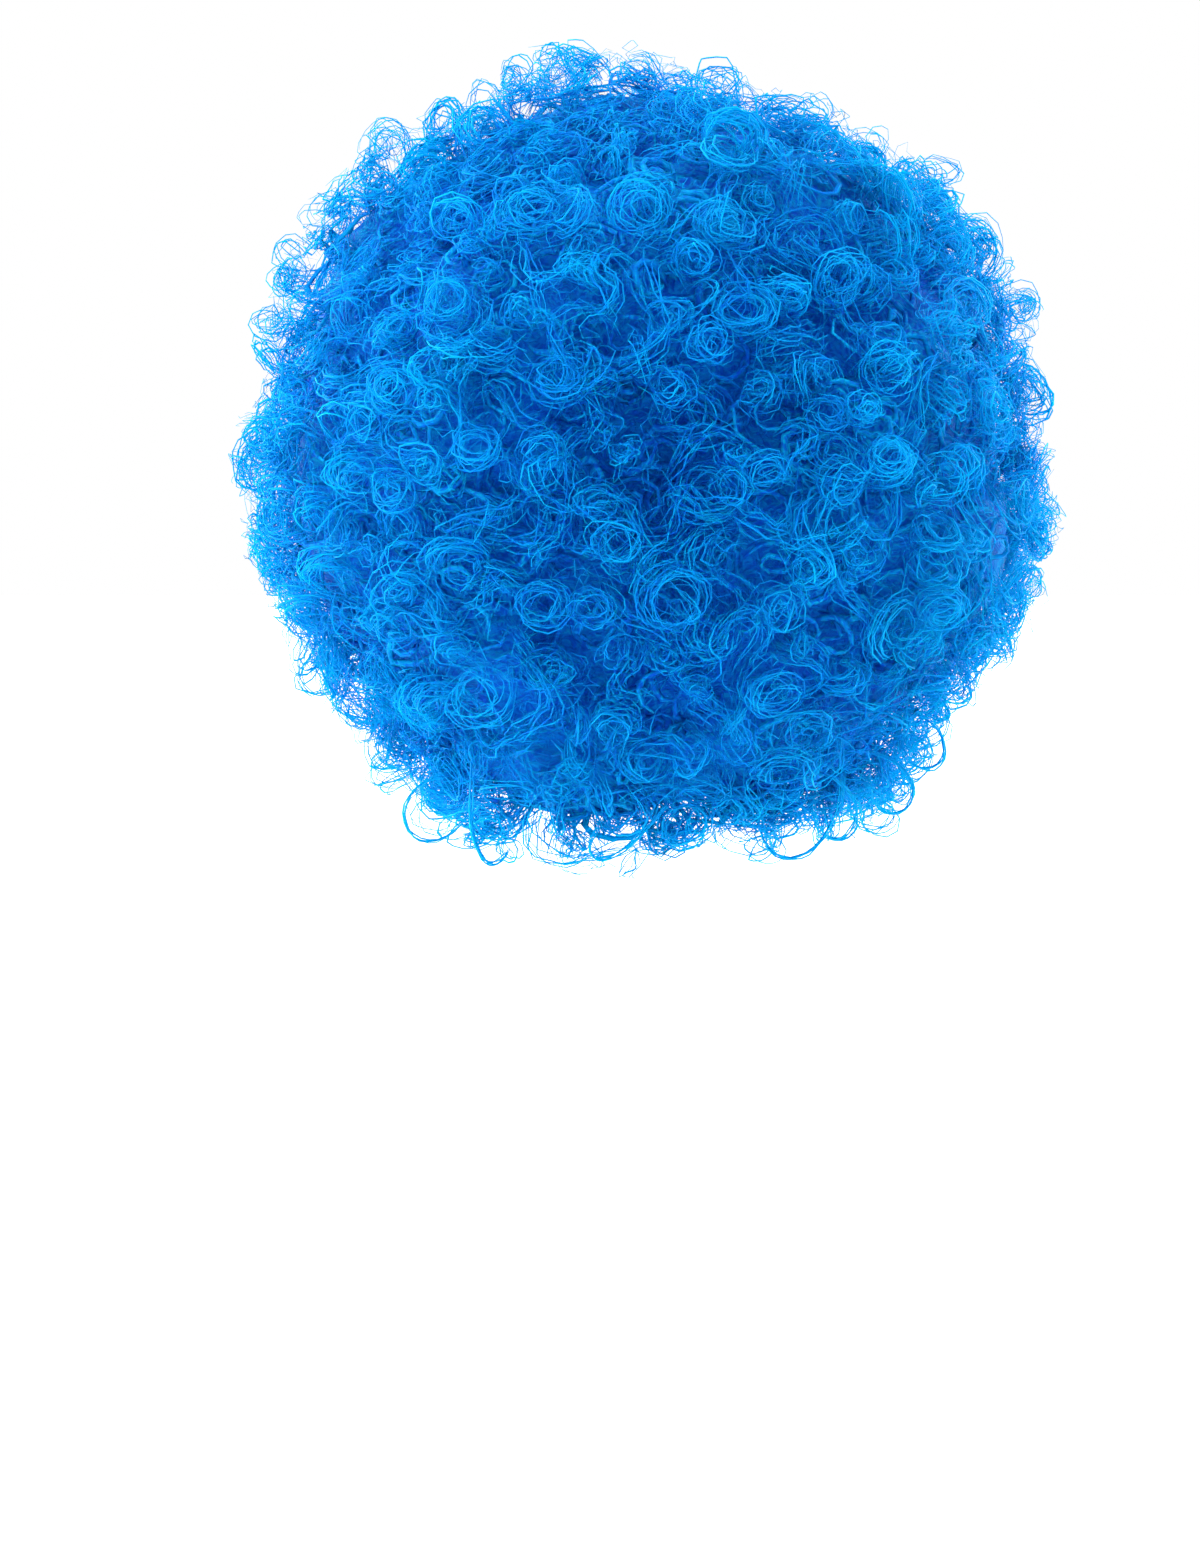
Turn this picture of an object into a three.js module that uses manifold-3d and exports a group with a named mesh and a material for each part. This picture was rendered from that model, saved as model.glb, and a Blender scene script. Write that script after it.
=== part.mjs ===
// Clown wig: a head-shaped net cap with an elastic edge, and rows of curled hair sewn round it.
// Millimetres, +Z up. The origin is the inside of the cap's crown, where the top of the head sits.
// The wearer faces -Y, and the wearer's left side is on +X.
import * as THREE from "three";
import { mergeVertices } from "three/addons/utils/BufferGeometryUtils.js";
import Module from "manifold-3d";

// Head that the cap fits
const HEAD_HALF_WIDTH = 78;
const HEAD_HALF_LENGTH = 98;
const CROWN_TO_WIDEST = 95; // height of the dome above the head's widest level
const NECK_TAPER = 0.25; // share of the half widths that is lost from the widest level to the neck
const TAPER_HEIGHT = 110; // height over which the head narrows to the neck

// Cap and its elastic edge
const CAP_WALL = 1.5;
const BAND_WALL = 1.8;
const BAND_HEIGHT = 14;
const RIM_DROP_FRONT = 60; // rim below the crown, at the forehead
const RIM_DROP_EAR = 112;
const RIM_DROP_NAPE = 150;
const RIM_RISE_TO_FRONT = { from: 0.35, to: 0.85 }; // stretch in which the rim rises, as shares of the half length
const RIM_FALL_TO_NAPE = { from: 0.1, to: 0.95 };
const SEW_GAP = 0.4; // gap between pieces that are sewn together

// Hair: how far the curls stand out of the head, all round and below the rim at the nape
const HAIR_TOP = 102;
const HAIR_SIDE = 89;
const HAIR_BACK = 74;
const HAIR_FRONT = 48;
const HAIR_BELOW_NAPE = 66;

// Ball of hair: its centre lies below the crown and behind the head's axis
const BALL_DROP = 66;
const BALL_BACK_SHIFT = 6;
const BALL_TOP = BALL_DROP + HAIR_TOP;
const BALL_SIDE = HEAD_HALF_WIDTH + HAIR_SIDE;
const BALL_BACK = HEAD_HALF_LENGTH + HAIR_BACK - BALL_BACK_SHIFT;
const BALL_FRONT = HEAD_HALF_LENGTH + HAIR_FRONT + BALL_BACK_SHIFT;

// Rows of hair, as angles from straight up about the ball's centre
const CROWN_ANGLE = 16; // half angle of the crown tuft
const FRINGE_ANGLE = 90; // lowest edge of the rows that go all round
const NAPE_ANGLES = { from: 95, to: 140 }; // between these the hair lengthens over the nape
const HEM_ANGLE = 150; // lowest edge of the hair at the nape
const RING_ROWS = 4; // rows that go all round the head
const OPEN_ROWS = 3; // rows that leave the face free
const FACE_HALF_ANGLE = 50; // half of the face opening, seen from above

// Locks: each is a curl that rises round its own hollow and stands on its row's backing
const LOCK_SPACING = 54; // along the row
const LOCK_STAND = 14; // how far a lock stands out of what it grows from
const LOCK_RISE = 0.45; // height of the curl's low end, as a share of its high end
const LOCK_SMALLEST = 0.88; // radius of the smallest lock of a row, as a share of the largest
const LOCK_SIDES = 6;
const LOCK_SECTIONS = [
  // from the lip of the hollow to the foot: shares of the radius and of the stand, and a turn in degrees
  { out: 0.45, up: 1, turn: 40 },
  { out: 1, up: 0.6, turn: 15 },
  { out: 0.93, up: -0.45, turn: 0 },
];
const LOCK_CLEARANCE = 1; // between a lock and the next row
const CROWN_LOCKS = 3;
const FRINGE_LOCKS = 3; // locks that hang under the fringe, over the face
const CHEEK_DEPTHS = [0.3, 0.78]; // places of the locks beside the face, from the head to the ball's surface

const INNER_REACH = HEAD_HALF_WIDTH / 2; // where the backings start, inside the head that is cut away
const COLUMNS = 24; // facets round the head
const CAP_RINGS = 6; // facets from the crown to the elastic edge
const BACKING_FACETS = 1; // facets down a row of hair

const wasm = await Module();
wasm.setup();

const radians = THREE.MathUtils.degToRad;
const smooth = THREE.MathUtils.smoothstep;
const mix = THREE.MathUtils.lerp;

// Repeatable numbers between 0 and 1, one for each lock and use.
function scatter(row, place, use) {
  const wave = Math.sin(row * 12.9898 + place * 78.233 + use * 37.719) * 43758.5453;
  return wave - Math.floor(wave);
}

// Closed wall over a grid: wall(i, j) gives the outer and the inner point of column i and row j.
// A ring joins its last column to its first. Points that fall together close a pole.
function wallGeometry(columns, rows, ring, wall) {
  const across = ring ? columns : columns + 1;
  const cells = [];
  for (let j = 0; j <= rows; j++) {
    for (let i = 0; i < across; i++) cells.push(wall(i, j));
  }
  const points = [...cells.map((cell) => cell.outer), ...cells.map((cell) => cell.inner)];
  const outer = (i, j) => j * across + i;
  const inner = (i, j) => cells.length + outer(i, j);
  const faces = [];
  const quad = (p, q, r, s) => faces.push(p, q, r, p, r, s);
  for (let i = 0; i < columns; i++) {
    const k = (i + 1) % across;
    for (let j = 0; j < rows; j++) {
      quad(outer(i, j + 1), outer(k, j + 1), outer(k, j), outer(i, j));
      quad(inner(i, j), inner(k, j), inner(k, j + 1), inner(i, j + 1));
    }
    quad(inner(i, rows), inner(k, rows), outer(k, rows), outer(i, rows));
    quad(outer(i, 0), outer(k, 0), inner(k, 0), inner(i, 0));
  }
  for (let j = 0; j < rows && !ring; j++) {
    quad(outer(0, j), inner(0, j), inner(0, j + 1), outer(0, j + 1));
    quad(outer(columns, j + 1), inner(columns, j + 1), inner(columns, j), outer(columns, j));
  }
  return new THREE.BufferGeometry().setFromPoints(points).setIndex(faces);
}

// Solid of a closed geometry, without the triangles that shrink to a line where points fall together.
function solidOf(geometry) {
  const merged = mergeVertices(geometry, 1e-4);
  const corners = merged.index.array;
  const faces = [];
  for (let n = 0; n < corners.length; n += 3) {
    const [p, q, r] = corners.slice(n, n + 3);
    if (p !== q && q !== r && r !== p) faces.push(p, q, r);
  }
  return new wasm.Manifold(
    new wasm.Mesh({
      numProp: 3,
      vertProperties: new Float32Array(merged.attributes.position.array),
      triVerts: new Uint32Array(faces),
    }),
  );
}

// Largest body of a solid, without the small pockets that close between curls.
function mainBody(solid) {
  return solid.decompose().reduce((best, body) => (body.volume() > best.volume() ? body : best));
}

function geometryOf(solid) {
  const mesh = solid.getMesh();
  const position = new THREE.BufferAttribute(mesh.vertProperties, 3);
  const index = new THREE.BufferAttribute(mesh.triVerts, 1);
  return new THREE.BufferGeometry().setAttribute("position", position).setIndex(index);
}

// Share of the head's half widths at a drop below the crown, for a head grown by a margin.
function girth(drop, margin) {
  const dome = CROWN_TO_WIDEST + margin;
  const fromTop = drop + margin;
  if (fromTop < dome) return Math.sqrt(1 - (1 - fromTop / dome) ** 2);
  return 1 - NECK_TAPER * smooth(fromTop, dome, dome + TAPER_HEIGHT);
}

// Point on the grown head, at an angle round it and a drop below its crown.
function headPoint(around, drop, margin) {
  const share = girth(drop, margin);
  const x = (HEAD_HALF_WIDTH + margin) * share * Math.cos(around);
  const y = (HEAD_HALF_LENGTH + margin) * share * Math.sin(around);
  return new THREE.Vector3(x, y, -drop);
}

// Drop of the cap's rim: high on the forehead, low at the ears, lowest at the nape.
function rimDrop(around) {
  const towardsFront = smooth(-Math.sin(around), RIM_RISE_TO_FRONT.from, RIM_RISE_TO_FRONT.to);
  const towardsNape = smooth(Math.sin(around), RIM_FALL_TO_NAPE.from, RIM_FALL_TO_NAPE.to);
  return mix(mix(RIM_DROP_EAR, RIM_DROP_FRONT, towardsFront), RIM_DROP_NAPE, towardsNape);
}

const aroundOf = (column) => (column / COLUMNS) * 2 * Math.PI;

// Point of the cap's facets on the grown head: ring 0 is the crown, and the last is the elastic's top edge.
function capPoint(column, ring, margin) {
  const around = aroundOf(column);
  const lowest = rimDrop(around) - BAND_HEIGHT - SEW_GAP;
  const drop = lowest * (1 - Math.cos(((ring / CAP_RINGS) * Math.PI) / 2));
  return headPoint(around, ring === 0 ? -margin : drop, margin);
}

function capGeometry() {
  return wallGeometry(COLUMNS, CAP_RINGS, true, (i, j) => ({
    outer: capPoint(i, j, CAP_WALL),
    inner: capPoint(i, j, 0),
  }));
}

// Elastic band that continues the cap down to its rim.
function bandGeometry() {
  return wallGeometry(COLUMNS, 1, true, (i, j) => {
    const drop = rimDrop(aroundOf(i)) - (1 - j) * BAND_HEIGHT;
    return { outer: headPoint(aroundOf(i), drop, BAND_WALL), inner: headPoint(aroundOf(i), drop, 0) };
  });
}

// Head, cap and neck as one solid, which the hair is cut back to.
function headForm() {
  const margin = Math.max(CAP_WALL, BAND_WALL) + SEW_GAP;
  const lowest = RIM_DROP_NAPE + HAIR_BELOW_NAPE + LOCK_STAND;
  const ringPoint = (i, j) => {
    if (j <= CAP_RINGS) return capPoint(i, j, margin);
    return headPoint(aroundOf(i), j === CAP_RINGS + 1 ? rimDrop(aroundOf(i)) : lowest, margin);
  };
  const inner = new THREE.Vector3(0, 0, -lowest);
  return solidOf(wallGeometry(COLUMNS, CAP_RINGS + 2, true, (i, j) => ({ outer: ringPoint(i, j), inner })));
}

const ballCentre = new THREE.Vector3(0, BALL_BACK_SHIFT, -BALL_DROP);

// Direction from the ball's centre: polar is measured from straight up, and around from +X to the nape.
function direction(polar, around) {
  const level = Math.sin(polar);
  return new THREE.Vector3(level * Math.cos(around), level * Math.sin(around), Math.cos(polar));
}

// Distance from the ball's centre to where the curls end.
function ballReach(polar, around) {
  const back = Math.sin(around);
  const nape = (RIM_DROP_NAPE + HAIR_BELOW_NAPE - BALL_DROP) / -Math.cos(radians(HEM_ANGLE));
  const level = mix(BALL_SIDE, back > 0 ? BALL_BACK : BALL_FRONT, back * back);
  const low = mix(BALL_SIDE, back > 0 ? nape : BALL_FRONT, back * back);
  const upper = mix(BALL_TOP, level, Math.sin(Math.min(polar, Math.PI / 2)) ** 2);
  return mix(upper, low, smooth(polar, radians(NAPE_ANGLES.from), radians(NAPE_ANGLES.to)));
}

const backingReach = (polar, around) => ballReach(polar, around) - LOCK_STAND;
const ballPoint = (ray, reach) => ray.clone().multiplyScalar(reach).add(ballCentre);

// Largest lock between two cones that lie a half angle to each side, at a distance from the ball's centre.
const lockRadius = (halfAngle, reach) => halfAngle * reach - LOCK_CLEARANCE;

// Curl that winds up round a hollow on its own z axis: one side rises to the full stand, where it ends in a step.
function lockGeometry(radius, turn, clockwise) {
  const foot = LOCK_SECTIONS[LOCK_SECTIONS.length - 1];
  const inner = new THREE.Vector3(0, 0, foot.up * LOCK_STAND);
  return wallGeometry(LOCK_SIDES, LOCK_SECTIONS.length - 1, true, (i, j) => {
    const section = LOCK_SECTIONS[j];
    const wound = i / (LOCK_SIDES - 1);
    const rise = section.up < 0 ? 1 : mix(LOCK_RISE, 1, clockwise > 0 ? wound : 1 - wound);
    const angle = turn + (i / LOCK_SIDES) * 2 * Math.PI + clockwise * radians(section.turn);
    const reach = radius * section.out;
    const outer = new THREE.Vector3(reach * Math.cos(angle), reach * Math.sin(angle), section.up * rise * LOCK_STAND);
    return { outer, inner };
  });
}

// Lock that grows from a seat along a normal, up to a radius.
function lockSolid(radius, row, place, seat, normal) {
  const turn = scatter(row, place, 1) * 2 * Math.PI;
  const clockwise = scatter(row, place, 2) < 0.5 ? -1 : 1;
  const fitted = radius * mix(LOCK_SMALLEST, 1, scatter(row, place, 3));
  const facing = new THREE.Quaternion().setFromUnitVectors(new THREE.Vector3(0, 0, 1), normal);
  const stand = new THREE.Matrix4().compose(seat, facing, new THREE.Vector3(1, 1, 1));
  return solidOf(lockGeometry(fitted, turn, clockwise).applyMatrix4(stand));
}

// Locks beside the face, on the end of a row: side is 1 at the wearer's left and -1 at the right.
function cheekLocks(row, polar, halfAngle, side) {
  const around = -Math.PI / 2 + side * radians(FACE_HALF_ANGLE);
  const ray = direction(polar, around);
  const normal = new THREE.Vector3(side * Math.sin(around), -side * Math.cos(around), 0);
  return CHEEK_DEPTHS.map((depth, n) => {
    const reach = mix(HEAD_HALF_WIDTH, backingReach(polar, around), depth);
    return lockSolid(lockRadius(halfAngle, reach), row, (n + 1) * side, ballPoint(ray, reach), normal);
  });
}

// Locks that hang under the lowest row of the forehead, clear of the locks beside the face.
function fringeLocks(row, polar) {
  const headFront = HEAD_HALF_LENGTH + BALL_BACK_SHIFT;
  const radius = (backingReach(polar, -Math.PI / 2) - headFront) / 2;
  const reach = headFront + radius;
  const edge = radians(FACE_HALF_ANGLE) - Math.asin((LOCK_STAND + radius + LOCK_CLEARANCE) / reach);
  return Array.from({ length: FRINGE_LOCKS }, (_, n) => {
    const around = -Math.PI / 2 + mix(-edge, edge, n / (FRINGE_LOCKS - 1));
    const seat = ballPoint(direction(polar, around), reach);
    return lockSolid(radius, row, -n - 1, seat, direction(polar + Math.PI / 2, around));
  });
}

const head = headForm();

// One row of hair: a backing between two cones, with a line of locks along it.
function rowGeometry(row, top, bottom, faceHalfAngle) {
  const ring = faceHalfAngle === 0;
  const start = -Math.PI / 2 + faceHalfAngle;
  const sweep = 2 * Math.PI - 2 * faceHalfAngle;
  const columns = Math.round((COLUMNS * sweep) / (2 * Math.PI));
  const slit = SEW_GAP / BALL_TOP;
  const backing = wallGeometry(columns, BACKING_FACETS, ring, (i, j) => {
    const around = start + (sweep * i) / columns;
    const polar = mix(top + slit, bottom - slit, j / BACKING_FACETS);
    const ray = direction(polar, around);
    const outer = ballPoint(ray, backingReach(polar, around));
    return { outer, inner: ballPoint(ray, INNER_REACH) };
  });
  const middle = (top + bottom) / 2;
  const halfAngle = (bottom - top) / 2;
  const count = Math.round((sweep * BALL_SIDE * Math.sin(middle)) / LOCK_SPACING);
  const locks = Array.from({ length: count }, (_, n) => {
    const around = start + (sweep * (n + 0.5)) / count;
    const reach = backingReach(middle, around);
    const ray = direction(middle, around);
    return lockSolid(lockRadius(halfAngle, reach), row, n, ballPoint(ray, reach), ray);
  });
  if (!ring) locks.push(...cheekLocks(row, middle, halfAngle, 1), ...cheekLocks(row, middle, halfAngle, -1));
  if (row === RING_ROWS) locks.push(...fringeLocks(row, bottom));
  return geometryOf(mainBody(wasm.Manifold.union([solidOf(backing), ...locks]).subtract(head)));
}

// Tuft at the crown: a plug of backing with a few locks on top.
function crownGeometry(bottom) {
  const backing = wallGeometry(COLUMNS, 1, true, (i, j) => {
    const around = aroundOf(i);
    const ray = direction(j * (bottom - SEW_GAP / BALL_TOP), around);
    return { outer: ballPoint(ray, backingReach(j * bottom, around)), inner: ballCentre };
  });
  const locks = Array.from({ length: CROWN_LOCKS }, (_, n) => {
    const around = (n / CROWN_LOCKS) * 2 * Math.PI;
    const reach = backingReach(bottom / 2, around);
    const ray = direction(bottom / 2, around);
    return lockSolid(lockRadius(bottom / 2, reach), 0, n, ballPoint(ray, reach), ray);
  });
  return geometryOf(mainBody(wasm.Manifold.union([solidOf(backing), ...locks]).subtract(head)));
}

const netMaterial = new THREE.MeshStandardMaterial({ color: 0x12386f, roughness: 0.85, metalness: 0 });
const elasticMaterial = new THREE.MeshStandardMaterial({ color: 0x0f2f63, roughness: 0.8, metalness: 0 });
const hairMaterial = new THREE.MeshStandardMaterial({ color: 0x0867c9, roughness: 0.5, metalness: 0 });

const wig = new THREE.Group();

function addPiece(name, geometry, material) {
  const mesh = new THREE.Mesh(geometry, material);
  mesh.name = name;
  wig.add(mesh);
}

addPiece("net_cap", capGeometry(), netMaterial);
addPiece("elastic_band", bandGeometry(), elasticMaterial);
addPiece("crown_tuft", crownGeometry(radians(CROWN_ANGLE)), hairMaterial);

const ringPitch = radians((FRINGE_ANGLE - CROWN_ANGLE) / RING_ROWS);
for (let row = 0; row < RING_ROWS; row++) {
  const top = radians(CROWN_ANGLE) + row * ringPitch;
  addPiece(`hair_row_${row + 1}`, rowGeometry(row + 1, top, top + ringPitch, 0), hairMaterial);
}

const openPitch = radians((HEM_ANGLE - FRINGE_ANGLE) / OPEN_ROWS);
for (let row = 0; row < OPEN_ROWS; row++) {
  const top = radians(FRINGE_ANGLE) + row * openPitch;
  const number = RING_ROWS + row + 1;
  const geometry = rowGeometry(number, top, top + openPitch, radians(FACE_HALF_ANGLE));
  addPiece(`hair_row_${number}`, geometry, hairMaterial);
}

export default wig;
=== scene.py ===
"""Clown wig of bright blue ringlets in rows on a knitted head cap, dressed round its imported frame.

Units are metres. +Z points up out of the crown, the wearer faces -Y and the wearer's left is on +X.
Angles on the ball of hair: polar is measured from straight up, and around from +X towards the nape.
"""

import logging
import math
from dataclasses import dataclass, field, replace
from enum import Enum

import bpy
import numpy as np
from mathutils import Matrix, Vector


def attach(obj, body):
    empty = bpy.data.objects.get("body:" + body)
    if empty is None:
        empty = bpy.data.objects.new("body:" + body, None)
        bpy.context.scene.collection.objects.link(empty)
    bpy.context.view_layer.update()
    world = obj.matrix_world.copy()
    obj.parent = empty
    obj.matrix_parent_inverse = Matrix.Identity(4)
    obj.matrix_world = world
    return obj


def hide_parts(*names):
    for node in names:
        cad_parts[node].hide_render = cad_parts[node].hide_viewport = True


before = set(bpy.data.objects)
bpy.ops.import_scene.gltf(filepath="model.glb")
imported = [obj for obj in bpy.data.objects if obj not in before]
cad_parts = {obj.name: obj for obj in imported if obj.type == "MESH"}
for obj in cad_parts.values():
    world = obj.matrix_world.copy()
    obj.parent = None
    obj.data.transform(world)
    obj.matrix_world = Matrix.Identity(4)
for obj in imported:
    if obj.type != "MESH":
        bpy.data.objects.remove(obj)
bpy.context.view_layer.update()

LOG = logging.getLogger("clown_wig")
SEED = 1125
MM = 0.001
TURN = 2 * math.pi


def unit(vectors: np.ndarray) -> np.ndarray:
    """Vectors of the last axis, each divided by its length."""
    return vectors / np.maximum(np.linalg.norm(vectors, axis=-1, keepdims=True), 1e-9)


def mix(low: np.ndarray | float, high: np.ndarray | float, share: np.ndarray | float) -> np.ndarray | float:
    """Value at a share of the way from low to high."""
    return low + (high - low) * share


def smooth(value: np.ndarray | float, start: float, end: float) -> np.ndarray:
    """S-shaped step, which is 0 up to start and 1 from end on."""
    share = np.clip((value - start) / (end - start), 0.0, 1.0)
    return share * share * (3.0 - 2.0 * share)


def direction(polar: np.ndarray, around: np.ndarray) -> np.ndarray:
    """Unit vectors at two angles.

    Args:
        polar: angle from straight up.
        around: angle from +X towards the nape.

    Returns:
        One vector for each pair of angles: (sin p cos a, sin p sin a, cos p).
    """
    level = np.sin(polar)
    parts = np.broadcast_arrays(level * np.cos(around), level * np.sin(around), np.cos(polar))
    return np.stack(parts, axis=-1)


def tangents(normal: np.ndarray) -> tuple[np.ndarray, np.ndarray]:
    """Two unit vectors square to each normal and to each other.

    Args:
        normal: unit vectors along the last axis.

    Returns:
        The first and second vector for each normal.
    """
    helper = np.where(np.abs(normal[..., 2:3]) < 0.9, [0.0, 0.0, 1.0], [1.0, 0.0, 0.0])
    first = unit(np.cross(helper, normal))
    return first, np.cross(normal, first)


@dataclass(frozen=True)
class HeadForm:
    """Head that the cap fits: a dome on a tapering neck, and the drop of the cap's rim round it."""

    half_width: float = 0.078
    half_length: float = 0.098
    crown_to_widest: float = 0.095
    neck_taper: float = 0.25
    taper_height: float = 0.110
    rim_front: float = 0.060
    rim_ear: float = 0.112
    rim_nape: float = 0.150
    rise_to_front: tuple[float, float] = (0.35, 0.85)
    fall_to_nape: tuple[float, float] = (0.10, 0.95)

    def girth(self, drop: np.ndarray, margin: float) -> np.ndarray:
        """Share of the half widths at a drop below the crown.

        Args:
            drop: distance below the crown.
            margin: how much the head is grown.

        Returns:
            Quarter ellipse down to the widest level, and an S-shaped taper below it.
        """
        dome = self.crown_to_widest + margin
        from_top = drop + margin
        rise = 1.0 - np.minimum(from_top, dome) / dome
        upper = np.sqrt(np.maximum(1.0 - rise * rise, 0.0))
        lower = 1.0 - self.neck_taper * smooth(from_top, dome, dome + self.taper_height)
        return np.where(from_top < dome, upper, lower)

    def point(self, around: np.ndarray, drop: np.ndarray, margin: float) -> np.ndarray:
        """Points on the grown head: an ellipse at each drop, as wide as the girth."""
        share = self.girth(drop, margin)
        across = (self.half_width + margin) * share * np.cos(around)
        along = (self.half_length + margin) * share * np.sin(around)
        return np.stack(np.broadcast_arrays(across, along, -drop), axis=-1)

    def rim(self, around: np.ndarray) -> np.ndarray:
        """Drop of the rim: high on the forehead, low at the ears, lowest at the nape."""
        front = smooth(-np.sin(around), *self.rise_to_front)
        nape = smooth(np.sin(around), *self.fall_to_nape)
        return mix(mix(self.rim_ear, self.rim_front, front), self.rim_nape, nape)

    def outside(self, points: np.ndarray, margin: float) -> np.ndarray:
        """How far out points lie: under 1 inside the grown head, and over 1 outside it."""
        share = np.maximum(self.girth(-points[..., 2], margin), 1e-6)
        across = points[..., 0] / ((self.half_width + margin) * share)
        along = points[..., 1] / ((self.half_length + margin) * share)
        return np.where(points[..., 2] > margin, 2.0, np.hypot(across, along))


@dataclass(frozen=True)
class Swell:
    """Broad swelling of the hair, or a hollow where its height is negative."""

    place: tuple[float, float, float]
    height: float
    spread: float

    def rise(self, ray: np.ndarray) -> np.ndarray:
        """Height in the directions of the rays: a bell curve of their distance from the middle."""
        apart = np.linalg.norm(ray - unit(np.array(self.place)), axis=-1)
        return self.height * np.exp(-(apart**2) / (2 * self.spread**2))


@dataclass(frozen=True)
class HairBall:
    """Ball that the curls fill, with the face opening cut out of it."""

    head: HeadForm = field(default_factory=HeadForm)
    centre: tuple[float, float, float] = (0.0, 0.006, -0.066)
    top: float = 0.168
    side: float = 0.167
    back: float = 0.166
    front: float = 0.148
    below_nape: float = 0.066
    crown_angle: float = math.radians(16)
    fringe_angle: float = math.radians(90)
    hem_angle: float = math.radians(150)
    nape_from: float = math.radians(95)
    nape_to: float = math.radians(140)
    face_half_angle: float = math.radians(50)
    ring_rows: int = 4
    open_rows: int = 3
    head_margin: float = 0.0022
    lump_height: float = 0.0045
    lump_waves: int = 14
    lump_scale: float = 8.5
    lump_seed: int = 386
    swells: tuple[Swell, ...] = (
        Swell((-0.03, 0.98, 0.17), -0.018, 0.27),
        Swell((0.66, 0.10, 0.75), 0.005, 0.22),
        Swell((-0.74, 0.10, -0.66), -0.007, 0.20),
        Swell((0.62, 0.20, -0.76), -0.010, 0.18),
    )
    # Share of the tufts and hollows that the depth counts. The rest shows as painted shade: darker in
    # hollows, lighter on tufts.
    lump_share: float = 0.2
    lump_paces: tuple[float, float] = (0.7, 1.6)
    lowest: float = -0.2262
    lowest_ease: float = 0.013
    ray_ends: tuple[float, float] = (0.02, 0.20)
    halvings: int = 22

    def reach(self, polar: np.ndarray, around: np.ndarray) -> np.ndarray:
        """Distance from the centre to where the curls end, blended between the reaches of the six sides."""
        back = np.sin(around)
        share = back * back
        nape = (self.head.rim_nape + self.below_nape + self.centre[2]) / -math.cos(self.hem_angle)
        level = mix(self.side, np.where(back > 0, self.back, self.front), share)
        low = mix(self.side, np.where(back > 0, nape, self.front), share)
        upper = mix(self.top, level, np.sin(np.minimum(polar, math.pi / 2)) ** 2)
        return mix(upper, low, smooth(polar, self.nape_from, self.nape_to))

    def lump(self, ray: np.ndarray) -> np.ndarray:
        """Height of the tufts: the sum of waves that cross the ball in random directions, and the swells.

        Args:
            ray: unit vectors from the ball's centre.

        Returns:
            Height above the plain ball.
        """
        rng = np.random.default_rng(self.lump_seed)
        ways = unit(rng.normal(size=(self.lump_waves, 3)))
        waves = ways * self.lump_scale * rng.uniform(*self.lump_paces, (self.lump_waves, 1))
        phase = rng.uniform(0, TURN, self.lump_waves)
        total = np.cos(ray @ waves.T + phase).sum(axis=-1)
        swollen = sum(swell.rise(ray) for swell in self.swells)
        return self.lump_height * total / math.sqrt(self.lump_waves / 2) + swollen

    def angles(self, points: np.ndarray) -> tuple[np.ndarray, np.ndarray, np.ndarray]:
        """Polar angle, angle around and distance of points from the ball's centre."""
        offset = points - np.array(self.centre)
        distance = np.linalg.norm(offset, axis=-1)
        polar = np.arccos(np.clip(offset[..., 2] / np.maximum(distance, 1e-9), -1.0, 1.0))
        return polar, np.arctan2(offset[..., 1], offset[..., 0]), distance

    def surface(self, polar: np.ndarray, around: np.ndarray, depth: np.ndarray | float) -> np.ndarray:
        """Points at a depth below the tufted surface of the ball."""
        ray = direction(polar, around)
        reach = self.reach(polar, around) + self.lump(ray) - depth
        return np.array(self.centre) + ray * reach[..., None]

    def depth(self, points: np.ndarray) -> np.ndarray:
        """Depth of points below the ball, of which tufts and hollows count in part. It sets the fibre's
        painted shade, so hollows are painted darker and tufts lighter.
        """
        polar, around, distance = self.angles(points)
        return self.reach(polar, around) + self.lump(direction(polar, around)) * self.lump_share - distance

    def held_up(self, level: np.ndarray) -> np.ndarray:
        """Heights, of which the lowest are eased up by a hyperbolic tangent so that none passes the limit."""
        start = self.lowest + self.lowest_ease
        eased = start - self.lowest_ease * np.tanh((start - level) / self.lowest_ease)
        return np.where(level < start, eased, level)

    def off_face(self, around: np.ndarray) -> np.ndarray:
        """Angle from the middle of the face, from 0 to half a turn."""
        apart = np.mod(around + math.pi / 2, TURN)
        return np.minimum(apart, TURN - apart)

    def head_reach(self, polar: np.ndarray, around: np.ndarray, margin: float) -> np.ndarray:
        """Distance from the centre to the grown head along a direction, found by halving."""
        ray = direction(polar, around)
        low, high = (np.full(ray.shape[:-1], end) for end in self.ray_ends)
        for _ in range(self.halvings):
            middle = (low + high) / 2
            inside = self.head.outside(np.array(self.centre) + ray * middle[..., None], margin) < 1.0
            low = np.where(inside, middle, low)
            high = np.where(inside, high, middle)
        return high

    def row_edges(self) -> list[float]:
        """Polar angles between the rows, from the crown to the hem."""
        rings = np.linspace(self.crown_angle, self.fringe_angle, self.ring_rows + 1)
        opens = np.linspace(self.fringe_angle, self.hem_angle, self.open_rows + 1)
        return [0.0, *rings, *opens[1:]]

    def row_of(self, polar: np.ndarray) -> np.ndarray:
        """Number of the row that a polar angle lies in: 0 is the crown tuft."""
        edges = self.row_edges()
        return np.clip(np.searchsorted(edges, polar, side="right") - 1, 0, len(edges) - 2)


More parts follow.
